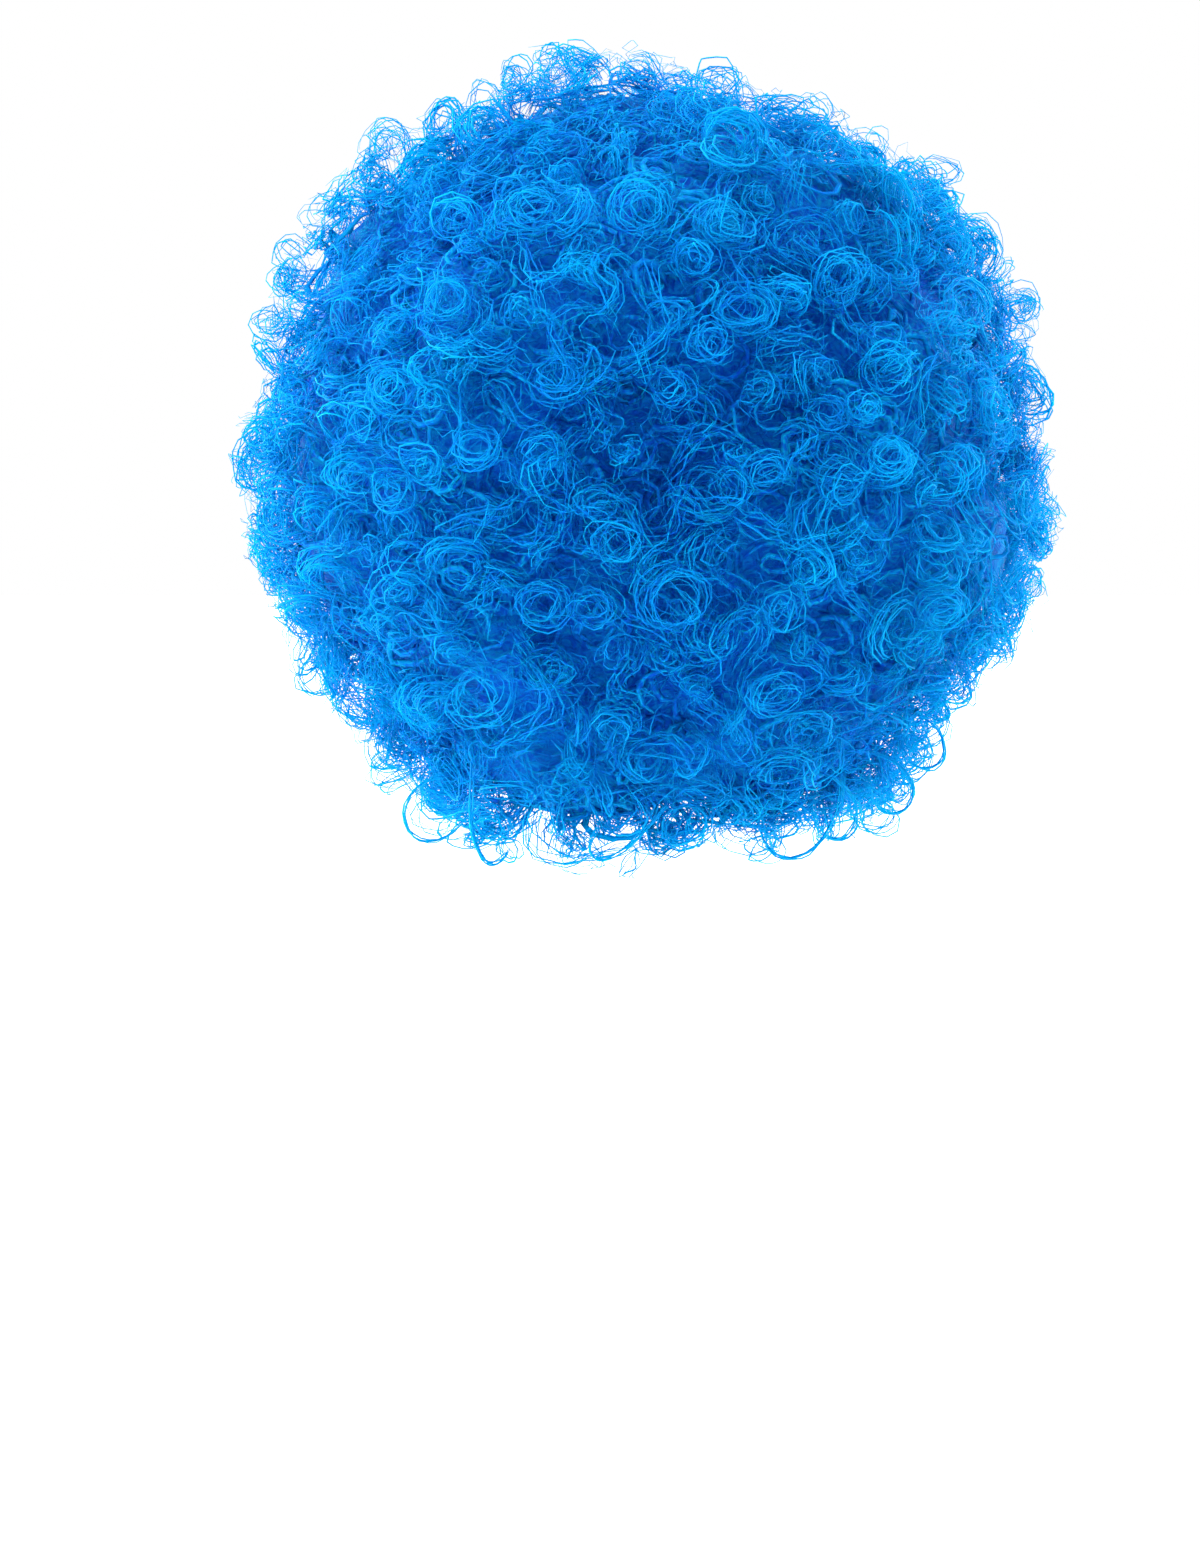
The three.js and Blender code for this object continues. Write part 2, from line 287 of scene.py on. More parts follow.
@dataclass
class Sites:
    """Places on the hair's outside that a curl grows at, with the way out and the row of each."""

    point: np.ndarray
    normal: np.ndarray
    row: np.ndarray

    def where(self, kept: np.ndarray) -> "Sites":
        """The sites that are kept."""
        return Sites(self.point[kept], self.normal[kept], self.row[kept])

    def clear_of(self, points: np.ndarray, distance: float) -> "Sites":
        """The sites that lie further than a distance from all the points."""
        apart = np.linalg.norm(self.point[:, None] - points, axis=-1)
        return self.where(apart.min(axis=1) > distance)


@dataclass
class SitePlan:
    """Spreads sites evenly over the ball's surface and over the free edges of the hair.

    The patch of each edge is a length and a depth. The hem's length is for each radian round the head.
    """

    ball: HairBall
    spacing: float
    rng: np.random.Generator
    inset: float = 0.0
    jitter: float = 0.38
    outer_room: float = 0.6
    neck_gap: float = 0.005
    band: tuple[float, float] = (0.005, 0.26)
    hem_patch: tuple[float, float] = (0.09, 0.055)
    face_patch: tuple[float, float] = (0.17, 0.07)
    fringe_patch: tuple[float, float] = (0.24, 0.045)
    nape_patch: tuple[float, float] = (0.28, 0.030)

    def sites(self) -> Sites:
        """All the sites, one for each square of the spacing.

        Returns:
            Sites of the ball's surface, then of the hem, both face edges, the fringe's underside and
            the inside of the nape.
        """
        edges = [self.beside_face(1), self.beside_face(-1), self.under_fringe(), self.inside_nape()]
        parts = [self.on_ball(), self.on_hem(), *edges]
        return Sites(
            np.concatenate([part.point for part in parts]),
            np.concatenate([part.normal for part in parts]),
            np.concatenate([part.row for part in parts]),
        )

    def on_ball(self) -> Sites:
        """Sites on a golden spiral from the crown to the hem, without the face opening."""
        ball = self.ball
        area = 4 * math.pi * ball.side**2
        count = int(area / self.spacing**2)
        step = np.arange(count) + 0.5
        polar = np.arccos(1 - 2 * step / count) + self.scatter(count) / ball.side
        girth = ball.side * np.sin(polar) + 1e-3
        around = step * math.pi * (3 - math.sqrt(5)) + self.scatter(count) / girth
        around = np.mod(around + math.pi, TURN) - math.pi
        polar = np.abs(polar)
        inset = self.inset / ball.side
        covered = ball.off_face(around) > ball.face_half_angle + inset
        kept = (polar < ball.hem_angle - inset) & ((polar < ball.fringe_angle - inset) | covered)
        polar, around = polar[kept], around[kept]
        ray = direction(polar, around)
        return Sites(ball.surface(polar, around, 0.0), ray, ball.row_of(polar))

    def scatter(self, count: int) -> np.ndarray:
        """Random shifts that keep neighbours apart."""
        return self.rng.uniform(-self.jitter, self.jitter, count) * self.spacing

    def patch(self, polar: np.ndarray, around: np.ndarray, share: np.ndarray, normal: np.ndarray) -> Sites:
        """Sites at shares of the way from the head to the ball's surface.

        Args:
            polar, around: directions of the sites.
            share: 0 at the head and 1 at the ball's surface.
            normal: the way out of the hair at each site.

        Returns:
            The sites, each in the row of its polar angle.
        """
        ball = self.ball
        inner = ball.head_reach(polar, around, ball.head_margin) + self.spacing / 2
        outer = ball.reach(polar, around) - self.spacing * self.outer_room
        point = np.array(ball.centre) + direction(polar, around) * mix(inner, outer, share)[..., None]
        return Sites(point, normal, ball.row_of(np.minimum(polar, ball.hem_angle) - 1e-3))

    def grid(self, length: float, depth: float) -> tuple[np.ndarray, np.ndarray]:
        """Shares along and across a patch, a spacing apart and scattered a little."""
        along = max(2, round(length / self.spacing))
        across = max(1, round(depth / self.spacing))
        first, second = np.meshgrid((np.arange(along) + 0.5) / along, (np.arange(across) + 0.5) / across)
        first, second = first.ravel(), second.ravel()
        first = first + self.rng.uniform(-self.jitter, self.jitter, first.size) / along
        second = second + self.rng.uniform(-self.jitter, self.jitter, second.size) / across
        return np.clip(first, 0, 1), np.clip(second, 0, 1)

    def on_hem(self) -> Sites:
        """Sites on the cone under the lowest row."""
        ball = self.ball
        sweep = TURN - 2 * ball.face_half_angle
        length, depth = self.hem_patch
        along, share = self.grid(sweep * length, depth)
        around = -math.pi / 2 + ball.face_half_angle + sweep * along
        polar = np.full_like(around, ball.hem_angle)
        return self.patch(polar, around, share, direction(polar + math.pi / 2, around))

    def above_hem(self) -> Sites:
        """Sites in a band just above the hem, one for each step of the spacing along it."""
        ball = self.ball
        sweep = TURN - 2 * ball.face_half_angle
        count = round(sweep * ball.side * math.sin(ball.hem_angle) / self.spacing)
        along = (np.arange(count) + 0.5 + self.rng.uniform(-self.jitter, self.jitter, count)) / count
        around = -math.pi / 2 + ball.face_half_angle + sweep * along
        polar = ball.hem_angle - self.rng.uniform(*self.band, count)
        return Sites(ball.surface(polar, around, 0.0), direction(polar, around), ball.row_of(polar))

    def beside_face(self, side: int) -> Sites:
        """Sites on the edge of the open rows, at the wearer's left (1) or right (-1)."""
        ball = self.ball
        along, share = self.grid(*self.face_patch)
        polar = mix(ball.fringe_angle, ball.hem_angle, along)
        around = np.full_like(polar, -math.pi / 2 + side * ball.face_half_angle)
        normal = np.stack([side * np.sin(around), -side * np.cos(around), np.zeros_like(around)], axis=-1)
        return self.patch(polar, around, share, normal)

    def under_fringe(self) -> Sites:
        """Sites under the lowest row of the forehead."""
        ball = self.ball
        along, share = self.grid(*self.fringe_patch)
        around = -math.pi / 2 + mix(-ball.face_half_angle, ball.face_half_angle, along)
        polar = np.full_like(around, ball.fringe_angle)
        return self.patch(polar, around, share, direction(polar + math.pi / 2, around))

    def inside_nape(self) -> Sites:
        """Sites on the inside of the hair that hangs below the cap, facing the neck."""
        ball, head = self.ball, self.ball.head
        along, share = self.grid(*self.nape_patch)
        around = -math.pi / 2 + mix(ball.face_half_angle, TURN - ball.face_half_angle, along)
        hem = ball.head_reach(np.full_like(around, ball.hem_angle), around, ball.head_margin)
        lowest = -ball.centre[2] - math.cos(ball.hem_angle) * hem
        point = head.point(around, mix(head.rim(around) + self.neck_gap, lowest, share), self.neck_gap)
        polar = ball.angles(point)[0]
        normal = -direction(np.full_like(around, math.pi / 2), around)
        return Sites(point, normal, ball.row_of(np.minimum(polar, ball.hem_angle - 1e-3)))


@dataclass
class Strands:
    """Centre lines of fibre bundles, each with the same number of points."""

    line: np.ndarray
    facing: np.ndarray
    width: np.ndarray
    tone: np.ndarray
    flatness: float


class Layer(Enum):
    """Layers of hair, from the deepest out."""

    FILL = "fill"
    LOCK = "lock"
    RINGLET = "ringlet"
    LOOP = "loop"
    FRIZZ = "frizz"
    HANGING = "hanging"


@dataclass(frozen=True)
class StrandStyle:
    """Strands of one thickness in a bundle. A pair is the range that each strand takes its own size from."""

    count: int
    segments: int
    width: tuple[float, float]
    flatness: float
    wobble: float


@dataclass(frozen=True)
class CurlStyle:
    """Sizes of the curls of one layer. A pair is the range that each curl takes its own size from."""

    spacing: float
    strands: tuple[StrandStyle, ...]
    radius: tuple[float, float]
    hole: tuple[float, float]
    turns: tuple[float, float]
    depth: tuple[float, float]
    lean: tuple[float, float]
    root_dive: float
    band_height: float
    tighten: float = 0.25
    fan: float = 0.9
    scatter: float = 2.0 * MM
    inset: float = 0.0


@dataclass(frozen=True)
class WaveStyle:
    """Sizes of the waving strands of one layer, which lie along the surface."""

    spacing: float
    strands: tuple[StrandStyle, ...]
    length: tuple[float, float]
    bend: float
    depth: tuple[float, float]
    spread: float
    inset: float = 0.0


def tape(count: int, segments: int, narrow: float, wide: float) -> StrandStyle:
    """Flat bundle of fibres, with its widths in millimetres."""
    return StrandStyle(count, segments, (narrow * MM, wide * MM), 0.22, 1.1 * MM)


def thread(count: int, segments: int, narrow: float, wide: float) -> StrandStyle:
    """Thin flattened bundle of fibres, with its widths in millimetres."""
    return StrandStyle(count, segments, (narrow * MM, wide * MM), 0.45, 1.3 * MM)


CURLS = {
    Layer.FILL: CurlStyle(
        spacing=23 * MM, strands=(tape(2, 9, 1.8, 4.0),), radius=(10 * MM, 18 * MM), hole=(0.1, 0.5),
        turns=(0.8, 1.2), depth=(11 * MM, 16 * MM), lean=(0.0, 0.3), root_dive=4 * MM, band_height=4 * MM,
        inset=9 * MM,
    ),
    Layer.RINGLET: CurlStyle(
        spacing=25.5 * MM, strands=(thread(12, 13, 0.5, 1.0),), radius=(7 * MM, 18.5 * MM), hole=(0.15, 0.6),
        turns=(0.85, 1.35), depth=(2 * MM, 9 * MM), lean=(0.0, 1.1), root_dive=12 * MM, band_height=7 * MM,
    ),
    Layer.LOOP: CurlStyle(
        spacing=44 * MM, strands=(thread(5, 14, 0.35, 0.6),), radius=(8 * MM, 13 * MM), hole=(0.65, 0.85),
        turns=(1.0, 1.5), depth=(-3 * MM, 4 * MM), lean=(0.9, 1.55), root_dive=10 * MM, band_height=5 * MM,
    ),
    Layer.HANGING: CurlStyle(
        spacing=11 * MM, strands=(thread(3, 18, 0.55, 1.0),), radius=(8 * MM, 15 * MM), hole=(0.8, 0.92),
        turns=(1.1, 1.8), depth=(-7 * MM, 3 * MM), lean=(0.2, 1.2), root_dive=2 * MM, band_height=6 * MM,
        fan=0.3, scatter=0.9 * MM,
    ),
}
# The radius of the large ringlets is in shares of each one's own.
LARGE_RINGLET = CurlStyle(
    spacing=12 * MM, strands=(thread(11, 17, 0.35, 0.7),), radius=(0.95, 1.35), hole=(0.3, 0.6),
    turns=(0.9, 1.5), depth=(-3 * MM, 2 * MM), lean=(0.0, 0.6), root_dive=14 * MM, band_height=9 * MM,
    tighten=0.3, fan=3.1, scatter=2.0 * MM,
)
WAVES = {
    Layer.LOCK: WaveStyle(
        spacing=31 * MM, strands=(thread(7, 10, 0.5, 0.95),), length=(38 * MM, 70 * MM), bend=1.9,
        depth=(2 * MM, 9 * MM), spread=8 * MM,
    ),
    Layer.FRIZZ: WaveStyle(
        spacing=12.2 * MM, strands=(thread(1, 7, 0.3, 0.5),), length=(16 * MM, 40 * MM), bend=4.0,
        depth=(-4 * MM, 5 * MM), spread=6 * MM,
    ),
}


@dataclass(frozen=True)
class Ringlet:
    """Large ringlet at the back: how far from the ball's middle to the left and up, and radius, in mm."""

    left: float
    up: float
    radius: float

    def style(self) -> CurlStyle:
        """The large ringlets' style in this one's size."""
        low, high = LARGE_RINGLET.radius
        return replace(LARGE_RINGLET, radius=(low * self.radius * MM, high * self.radius * MM))

    def site(self, ball: HairBall) -> Sites:
        """The ringlet's site on the ball, which faces halfway between outwards and straight back."""
        left, up = self.left * MM, self.up * MM
        back = math.sqrt(max(ball.back**2 - left**2 - up**2, 0.0))
        polar, around, _ = ball.angles(np.array([[left, back, up]]) + np.array(ball.centre))
        facing = unit(direction(polar, around) + np.array([0.0, 1.0, 0.0]))
        return Sites(ball.surface(polar, around, 0.0), facing, ball.row_of(polar))


RINGLETS = (
    Ringlet(5, 112, 14), Ringlet(-77, 89, 12), Ringlet(47, 113, 15), Ringlet(-95, 50, 14),
    Ringlet(-85, 35, 9), Ringlet(-93, 15, 14), Ringlet(-22, 64, 8), Ringlet(-7, 48, 11),
    Ringlet(104, 2, 12), Ringlet(46, 21, 9), Ringlet(-9, -41, 15), Ringlet(46, -45, 11),
    Ringlet(26, -46, 10), Ringlet(103, 42, 13), Ringlet(72, 20, 10), Ringlet(-47, 11, 11),
    Ringlet(15, -18, 12), Ringlet(68, -80, 12), Ringlet(-48, -79, 12), Ringlet(-113, -45, 12),
    Ringlet(80, 77, 12), Ringlet(154, 83, 9), Ringlet(57, 162, 9), Ringlet(39, 166, 8),
    Ringlet(-28, 162, 10), Ringlet(-74, 150, 10), Ringlet(111, 134, 10), Ringlet(-106, -106, 9),
    Ringlet(-106, -134, 9), Ringlet(-84, -123, 11), Ringlet(-149, -78, 9), Ringlet(-168, -13, 8),
    Ringlet(-157, 70, 8), Ringlet(167, 0, 8), Ringlet(134, -109, 10),
)


@dataclass(frozen=True)
class Stray:
    """Loose lock that hangs out of the hem: the points that pull its course, in millimetres."""

    pulls: tuple[tuple[float, float, float], ...]
    kind: StrandStyle = StrandStyle(5, 16, (0.45 * MM, 0.75 * MM), 0.5, 0.5 * MM)
    spread: float = 0.7 * MM


STRAYS = (
    Stray(((72, 96, -172), (74, 101, -198), (74, 103, -223), (63, 102, -223), (57, 101, -213))),
    Stray(((82, 88, -184), (106, 90, -184), (110, 92, -214), (84, 94, -220), (74, 92, -198))),
    Stray(((-78, 98, -180), (-78, 104, -208), (-60, 108, -223), (-40, 110, -223), (-45, 106, -190))),
    Stray(((-62, 98, -180), (-92, 100, -184), (-94, 98, -216), (-62, 98, -220), (-66, 98, -190))),
    Stray(((-84, 86, -174), (-114, 84, -176), (-118, 82, -206), (-88, 84, -210), (-88, 84, -184))),
    Stray(((-100, 72, -158), (-126, 68, -160), (-132, 66, -188), (-104, 70, -194), (-102, 70, -168))),
    Stray(((-8, 116, -190), (4, 120, -208), (22, 120, -223), (32, 118, -214), (20, 116, -200))),
)


@dataclass
class Curler:
    """Winds strands at sites on the ball. A pair is the range of a random factor or angle."""

    ball: HairBall
    rng: np.random.Generator
    end_dive: float = 9 * MM
    root_share: float = 0.30
    tip_width: float = 0.25
    shared_tone: float = 0.5
    climb: float = 0.7
    rank_range: tuple[float, float] = (0.1, 0.9)
    squeeze_range: tuple[float, float] = (0.72, 1.0)
    tighten_range: tuple[float, float] = (0.4, 1.4)
    pace_range: tuple[float, float] = (0.85, 1.15)
    roll_range: tuple[float, float] = (-0.6, 0.6)
    bend_range: tuple[float, float] = (0.4, 1.0)
    course_range: tuple[float, float] = (-0.15, 0.15)
    bends_along: float = 0.8
    tremor: tuple[tuple[float, float], ...] = ((1.3, 1.0), (2.9, 0.5), (5.3, 0.25))
    tremor_pace: tuple[float, float] = (0.75, 1.25)

    def between(self, pair: tuple[float, float], *shape: int) -> np.ndarray:
        """Random values in a range."""
        return self.rng.uniform(pair[0], pair[1], shape)

    def tremble(self, count: tuple[int, ...], share: np.ndarray, size: float) -> np.ndarray:
        """Small waves along strands.

        Args:
            count: number of strands along each leading axis.
            share: place along the strand, from 0 to 1.
            size: height of the waves.

        Returns:
            Offsets: for each axis the sum of three waves of falling height, each with its own phase.
        """
        total = np.zeros((*count, share.size, 3))
        for waves, height in self.tremor:
            phase = self.rng.uniform(0, TURN, (*count, 1, 3))
            pace = waves * self.rng.uniform(*self.tremor_pace, (*count, 1, 3))
            total += height * np.sin(TURN * pace * share[:, None] + phase)
        return total * size

    def curls(self, style: CurlStyle, sites: Sites) -> list[Strands]:
        """Bundles of strands that wind round the hollow of a curl.

        Each strand is a spiral: its radius lies between the hollow and the curl's own radius and shrinks
        towards the tip, it climbs along the curl's axis, and its root dives into the hair.

        Args:
            style: sizes of this layer.
            sites: where the curls grow.

        Returns:
            The strands of all the curls, one list entry for each thickness.
        """
        count, normal = len(sites.point), sites.normal
        first, second = tangents(normal)
        swing = self.between((0, TURN), count, 1)
        lean = self.between(style.lean, count, 1)
        axis = unit(normal * np.cos(lean) + (first * np.cos(swing) + second * np.sin(swing)) * np.sin(lean))
        right, ahead = tangents(axis)
        winding = np.where(self.rng.random((count, 1, 1)) < 0.5, -1.0, 1.0)
        outer = self.between(style.radius, count, 1, 1)
        hole = self.between(style.hole, count, 1, 1)
        tighten = style.tighten * self.between(self.tighten_range, count, 1, 1)
        squeeze = self.between(self.squeeze_range, count, 1, 1)
        begin = self.between((0, TURN), count, 1, 1)
        turns = self.between(style.turns, count, 1, 1)
        centre = sites.point - normal * self.between(style.depth, count, 1)
        curl_tone = self.between((0, 1), count, 1)
        made = []
        for kind in style.strands:
            share = np.linspace(0, 1, kind.segments + 1)
            rank = np.arange(kind.count)[None, :, None] + self.between(self.rank_range, count, kind.count, 1)
            rank = rank / kind.count
            radius = outer * mix(hole, 1.0, rank) * (1 - tighten * share)
            start = begin + self.between((-style.fan, style.fan), count, kind.count, 1)
            pace = self.between(self.pace_range, count, kind.count, 1)
            angle = start + winding * TURN * turns * pace * share
            height = self.between((-0.5, 0.5), count, kind.count, 1)
            height = height + self.climb * (share - 0.5) + 0.5 * (0.5 - rank)
            radial = right[:, None, None] * np.cos(angle)[..., None]
            radial = radial + ahead[:, None, None] * (squeeze * np.sin(angle))[..., None]
            shift = self.between((-1, 1), count, kind.count, 1, 3) * style.scatter
            line = centre[:, None, None] + radial * radius[..., None] + shift
            line = line + axis[:, None, None] * (style.band_height * height)[..., None]
            dive = style.root_dive * (1 - smooth(share, 0.0, self.root_share))
            line = line - normal[:, None, None] * dive[:, None]
            line = self.held_up(line + self.tremble((count, kind.count), share, kind.wobble))
            roll = self.between(self.roll_range, count, kind.count, 1, 1)
            facing = axis[:, None, None] * np.cos(roll) + unit(radial) * np.sin(roll)
            own_tone = self.between((0, 1), count, kind.count)
            tone = curl_tone * self.shared_tone + own_tone * (1 - self.shared_tone)
            made.append(self.strands(kind, line, facing, share, tone))
        return made

    def waves(self, style: WaveStyle, sites: Sites) -> list[Strands]:
        """Strands that wave along the surface and dive at both ends.

        The heading of each strand swings as a sine along it, and the steps along the heading add up to the
        line. It is then set at its own depth below the ball's surface.

        Args:
            style: sizes of this layer.
            sites: where the middles of the strands lie.

        Returns:
            The strands of all the bundles, one list entry for each thickness.
        """
        count = len(sites.point)
        first, second = tangents(sites.normal)
        course = self.between((0, TURN), count, 1, 1)
        swing = style.bend * self.between(self.bend_range, count, 1, 1)
        phase = self.between((0, TURN), count, 1, 1)
        length = self.between(style.length, count, 1, 1)
        made = []
        for kind in style.strands:
            share = np.linspace(0, 1, kind.segments + 1)
            heading = course + self.between(self.course_range, count, kind.count, 1)
            heading = heading + swing * np.sin(TURN * self.bends_along * share + phase)
            step = length / kind.segments
            middle = kind.segments // 2
            offset = self.between((-0.5, 0.5), 2, count, kind.count, 1) * style.spread
            across = np.cumsum(np.cos(heading) * step, axis=-1)
            along = np.cumsum(np.sin(heading) * step, axis=-1)
            across = across - across[..., middle:middle + 1] + offset[0]
            along = along - along[..., middle:middle + 1] + offset[1]
            line = sites.point[:, None, None] + first[:, None, None] * across[..., None]
            line = line + second[:, None, None] * along[..., None]
            bow = (across**2 + along**2) / (2 * self.ball.side)
            depth = self.between(style.depth, count, kind.count, 1)
            ends = self.end_dive * (1 - np.sin(math.pi * share)) ** 2
            line = line - sites.normal[:, None, None] * (bow + depth + ends)[..., None]
            line = self.held_up(line + self.tremble((count, kind.count), share, kind.wobble))
            facing = np.broadcast_to(sites.normal[:, None, None], line.shape)
            made.append(self.strands(kind, line, facing, share, self.between((0, 1), count, kind.count)))
        return made

    def stray(self, lock: Stray) -> Strands:
        """Strands of one loose lock.

        The course is the Bezier curve of the lock's points: each point weighs as often as its number of
        picks among the others, times the share of the way to its power.

        Args:
            lock: course, thickness and spread of the strands.

        Returns:
            The strands, each shifted and waved on its own.
        """
        kind, last = lock.kind, len(lock.pulls) - 1
        share = np.linspace(0, 1, kind.segments + 1)
        picks = np.array([math.comb(last, n) for n in range(last + 1)])
        powers = np.arange(last + 1)
        weights = picks * share[:, None] ** powers * (1 - share[:, None]) ** (last - powers)
        course = weights @ np.array(lock.pulls) * MM
        line = course + self.between((-1, 1), 1, kind.count, 1, 3) * lock.spread
        line = line + self.tremble((1, kind.count), share, kind.wobble)
        facing = np.broadcast_to([0.0, 1.0, 0.0], line.shape)
        return self.strands(kind, line, facing, share, self.between((0.3, 1), 1, kind.count))

    def held_up(self, line: np.ndarray) -> np.ndarray:
        """The lines, with their lowest points eased up."""
        return np.concatenate([line[..., :2], self.ball.held_up(line[..., 2:])], axis=-1)

    def taper(self, share: np.ndarray) -> np.ndarray:
        """Width along a strand: full in the middle, and the tip's share at its ends."""
        arch = np.sqrt(np.maximum(np.sin(math.pi * np.clip(share, 0.0, 1.0)), 0.0))
        return self.tip_width + (1 - self.tip_width) * arch

    def strands(
        self, kind: StrandStyle, line: np.ndarray, facing: np.ndarray, share: np.ndarray, tone: np.ndarray
    ) -> Strands:
        """Puts the strands of all the curls in one list, with a width for each point.

        Args:
            kind: thickness of the strands.
            line: centre lines (curls, strands, points, 3).
            facing: way that the broad side faces, like the lines.
            share: place along the strand of each point, from 0 to 1.
            tone: shade of each strand (curls, strands).

        Returns:
            The strands.
        """
        points = line.shape[2]
        width = self.between(kind.width, *line.shape[:2], 1) * self.taper(share)
        line, facing = line.reshape(-1, points, 3), facing.reshape(-1, points, 3)
        return Strands(line, facing, width.reshape(-1, points), tone.ravel(), kind.flatness)


@dataclass
class MeshParts:
    """Points and faces that are joined into one mesh, with the fibre coordinates of the faces' corners.

    Fibre coordinates run in centimetres along a strand, shifted by its tone, and in lines round it.
    """

    points: list[np.ndarray] = field(default_factory=list)
    tones: list[np.ndarray] = field(default_factory=list)
    quads: list[np.ndarray] = field(default_factory=list)
    quad_uvs: list[np.ndarray] = field(default_factory=list)
    caps: list[np.ndarray] = field(default_factory=list)
    cap_uvs: list[np.ndarray] = field(default_factory=list)
    total: int = 0
    run_scale: float = 100.0
    tone_shift: float = 50.0
    lines_per_width: float = 2.2

    def add_points(self, points: np.ndarray, tones: np.ndarray) -> int:
        """Adds points with a tone each, and returns the number of the first."""
        first = self.total
        self.points.append(points.reshape(-1, 3))
        self.tones.append(tones.ravel())
        self.total += points.size // 3
        return first

    def add_strands(self, strands: Strands) -> None:
        """Adds closed strands of three sides, flat towards what they face.

        The section's corners lie half a width to each side of the line, and a share of the width above it.

        Args:
            strands: centre lines with their widths.
        """
        line, width = strands.line, strands.width[..., None]
        along = unit(np.gradient(line, axis=1))
        side = unit(np.cross(along, strands.facing))
        up = np.cross(side, along)
        thick = width * strands.flatness
        corners = [side * width / 2 - up * thick / 3, up * thick * 2 / 3, -side * width / 2 - up * thick / 3]
        ring = np.stack([line + corner for corner in corners], axis=2)
        count, rows, sides = ring.shape[:3]
        tones = np.broadcast_to(strands.tone[:, None, None], ring.shape[:3])
        first = self.add_points(ring, tones)
        index = first + np.arange(count * rows * sides).reshape(count, rows, sides)
        after = np.roll(index, -1, axis=2)
        quads = np.stack([index[:, :-1], index[:, 1:], after[:, 1:], after[:, :-1]], axis=-1)
        steps = np.linalg.norm(np.diff(line, axis=1), axis=-1)
        run = np.concatenate([np.zeros((count, 1)), steps.cumsum(axis=1)], axis=1)
        run = run * self.run_scale + strands.tone[:, None] * self.tone_shift
        low, high = run[:, :-1, None], run[:, 1:, None]
        girth = strands.width.max(axis=1)[:, None, None] * self.lines_per_width / MM
        left = girth * np.arange(sides) / sides
        right = girth * (np.arange(sides) + 1) / sides
        shape = (count, rows - 1, sides)
        uvs = [(low, left), (high, left), (high, right), (low, right)]
        uvs = [np.stack(np.broadcast_arrays(u, v, np.zeros(shape))[:2], axis=-1) for u, v in uvs]
        self.quads.append(quads.reshape(-1, 4))
        self.quad_uvs.append(np.stack(uvs, axis=-2).reshape(-1, 4, 2))
        caps = np.concatenate([index[:, 0], index[:, -1, ::-1]])
        self.caps.append(caps)
        self.cap_uvs.append(np.zeros((len(caps), 3, 2)))

    def add_grid(
        self, grid: np.ndarray, wrap_rows: bool, wrap_columns: bool, uvs: np.ndarray, tone: float
    ) -> None:
        """Adds a grid of points as quads.

        Args:
            grid: points (rows, columns, 3), counter-clockwise from outside as row then column grow.
            wrap_rows, wrap_columns: whether the last row or column joins the first.
            uvs: fibre coordinates (rows + 1, columns + 1, 2) of the grid's corners, wrapped ones included.
            tone: one tone for all the points.
        """
        rows, columns = grid.shape[:2]
        first = self.add_points(grid, np.full(grid.shape[:2], tone))
        index = first + np.arange(rows * columns).reshape(rows, columns)
        if wrap_rows:
            index = np.concatenate([index, index[:1]], axis=0)
        if wrap_columns:
            index = np.concatenate([index, index[:, :1]], axis=1)
        quads = np.stack([index[:-1, :-1], index[1:, :-1], index[1:, 1:], index[:-1, 1:]], axis=-1)
        uvs = uvs[: index.shape[0], : index.shape[1]]
        corners = np.stack([uvs[:-1, :-1], uvs[1:, :-1], uvs[1:, 1:], uvs[:-1, 1:]], axis=-2)
        self.quads.append(quads.reshape(-1, 4))
        self.quad_uvs.append(corners.reshape(-1, 4, 2))

    def build(self, name: str, ball: HairBall | None = None) -> bpy.types.Object:
        """Makes the mesh object, smooth shaded, with its UV map and attributes.

        Args:
            name: the object's name.
            ball: where given, each point's depth below its surface is stored as well.

        Returns:
            The object, linked to the scene, at the origin.
        """
        points = np.concatenate(self.points)
        quads = np.concatenate(self.quads).astype(np.int32)
        caps = np.concatenate(self.caps).astype(np.int32) if self.caps else np.zeros((0, 3), np.int32)
        mesh = bpy.data.meshes.new(name)
        mesh.vertices.add(len(points))
        mesh.vertices.foreach_set("co", points.astype(np.float32).ravel())
        corners = np.concatenate([quads.ravel(), caps.ravel()])
        mesh.loops.add(len(corners))
        mesh.loops.foreach_set("vertex_index", corners)
        starts = np.concatenate([np.arange(len(quads)) * 4, len(quads) * 4 + np.arange(len(caps)) * 3])
        mesh.polygons.add(len(starts))
        mesh.polygons.foreach_set("loop_start", starts.astype(np.int32))
        mesh.polygons.foreach_set("use_smooth", np.ones(len(starts), bool))
        cap_uvs = np.concatenate(self.cap_uvs) if self.cap_uvs else np.zeros((0, 3, 2))
        uvs = np.concatenate([np.concatenate(self.quad_uvs).ravel(), cap_uvs.ravel()])
        mesh.uv_layers.new(name="fibre").data.foreach_set("uv", uvs.astype(np.float32))
        self.store(mesh, "tone", np.concatenate(self.tones))
        if ball is not None:
            self.store(mesh, "depth", ball.depth(points) / MM)
        mesh.update(calc_edges=True)
        mesh.validate()
        item = bpy.data.objects.new(name, mesh)
        bpy.context.scene.collection.objects.link(item)
        return item

    @staticmethod
    def store(mesh: bpy.types.Mesh, name: str, values: np.ndarray) -> None:
        """Stores a number for each point."""
        mesh.attributes.new(name, "FLOAT", "POINT").data.foreach_set("value", values.astype(np.float32))


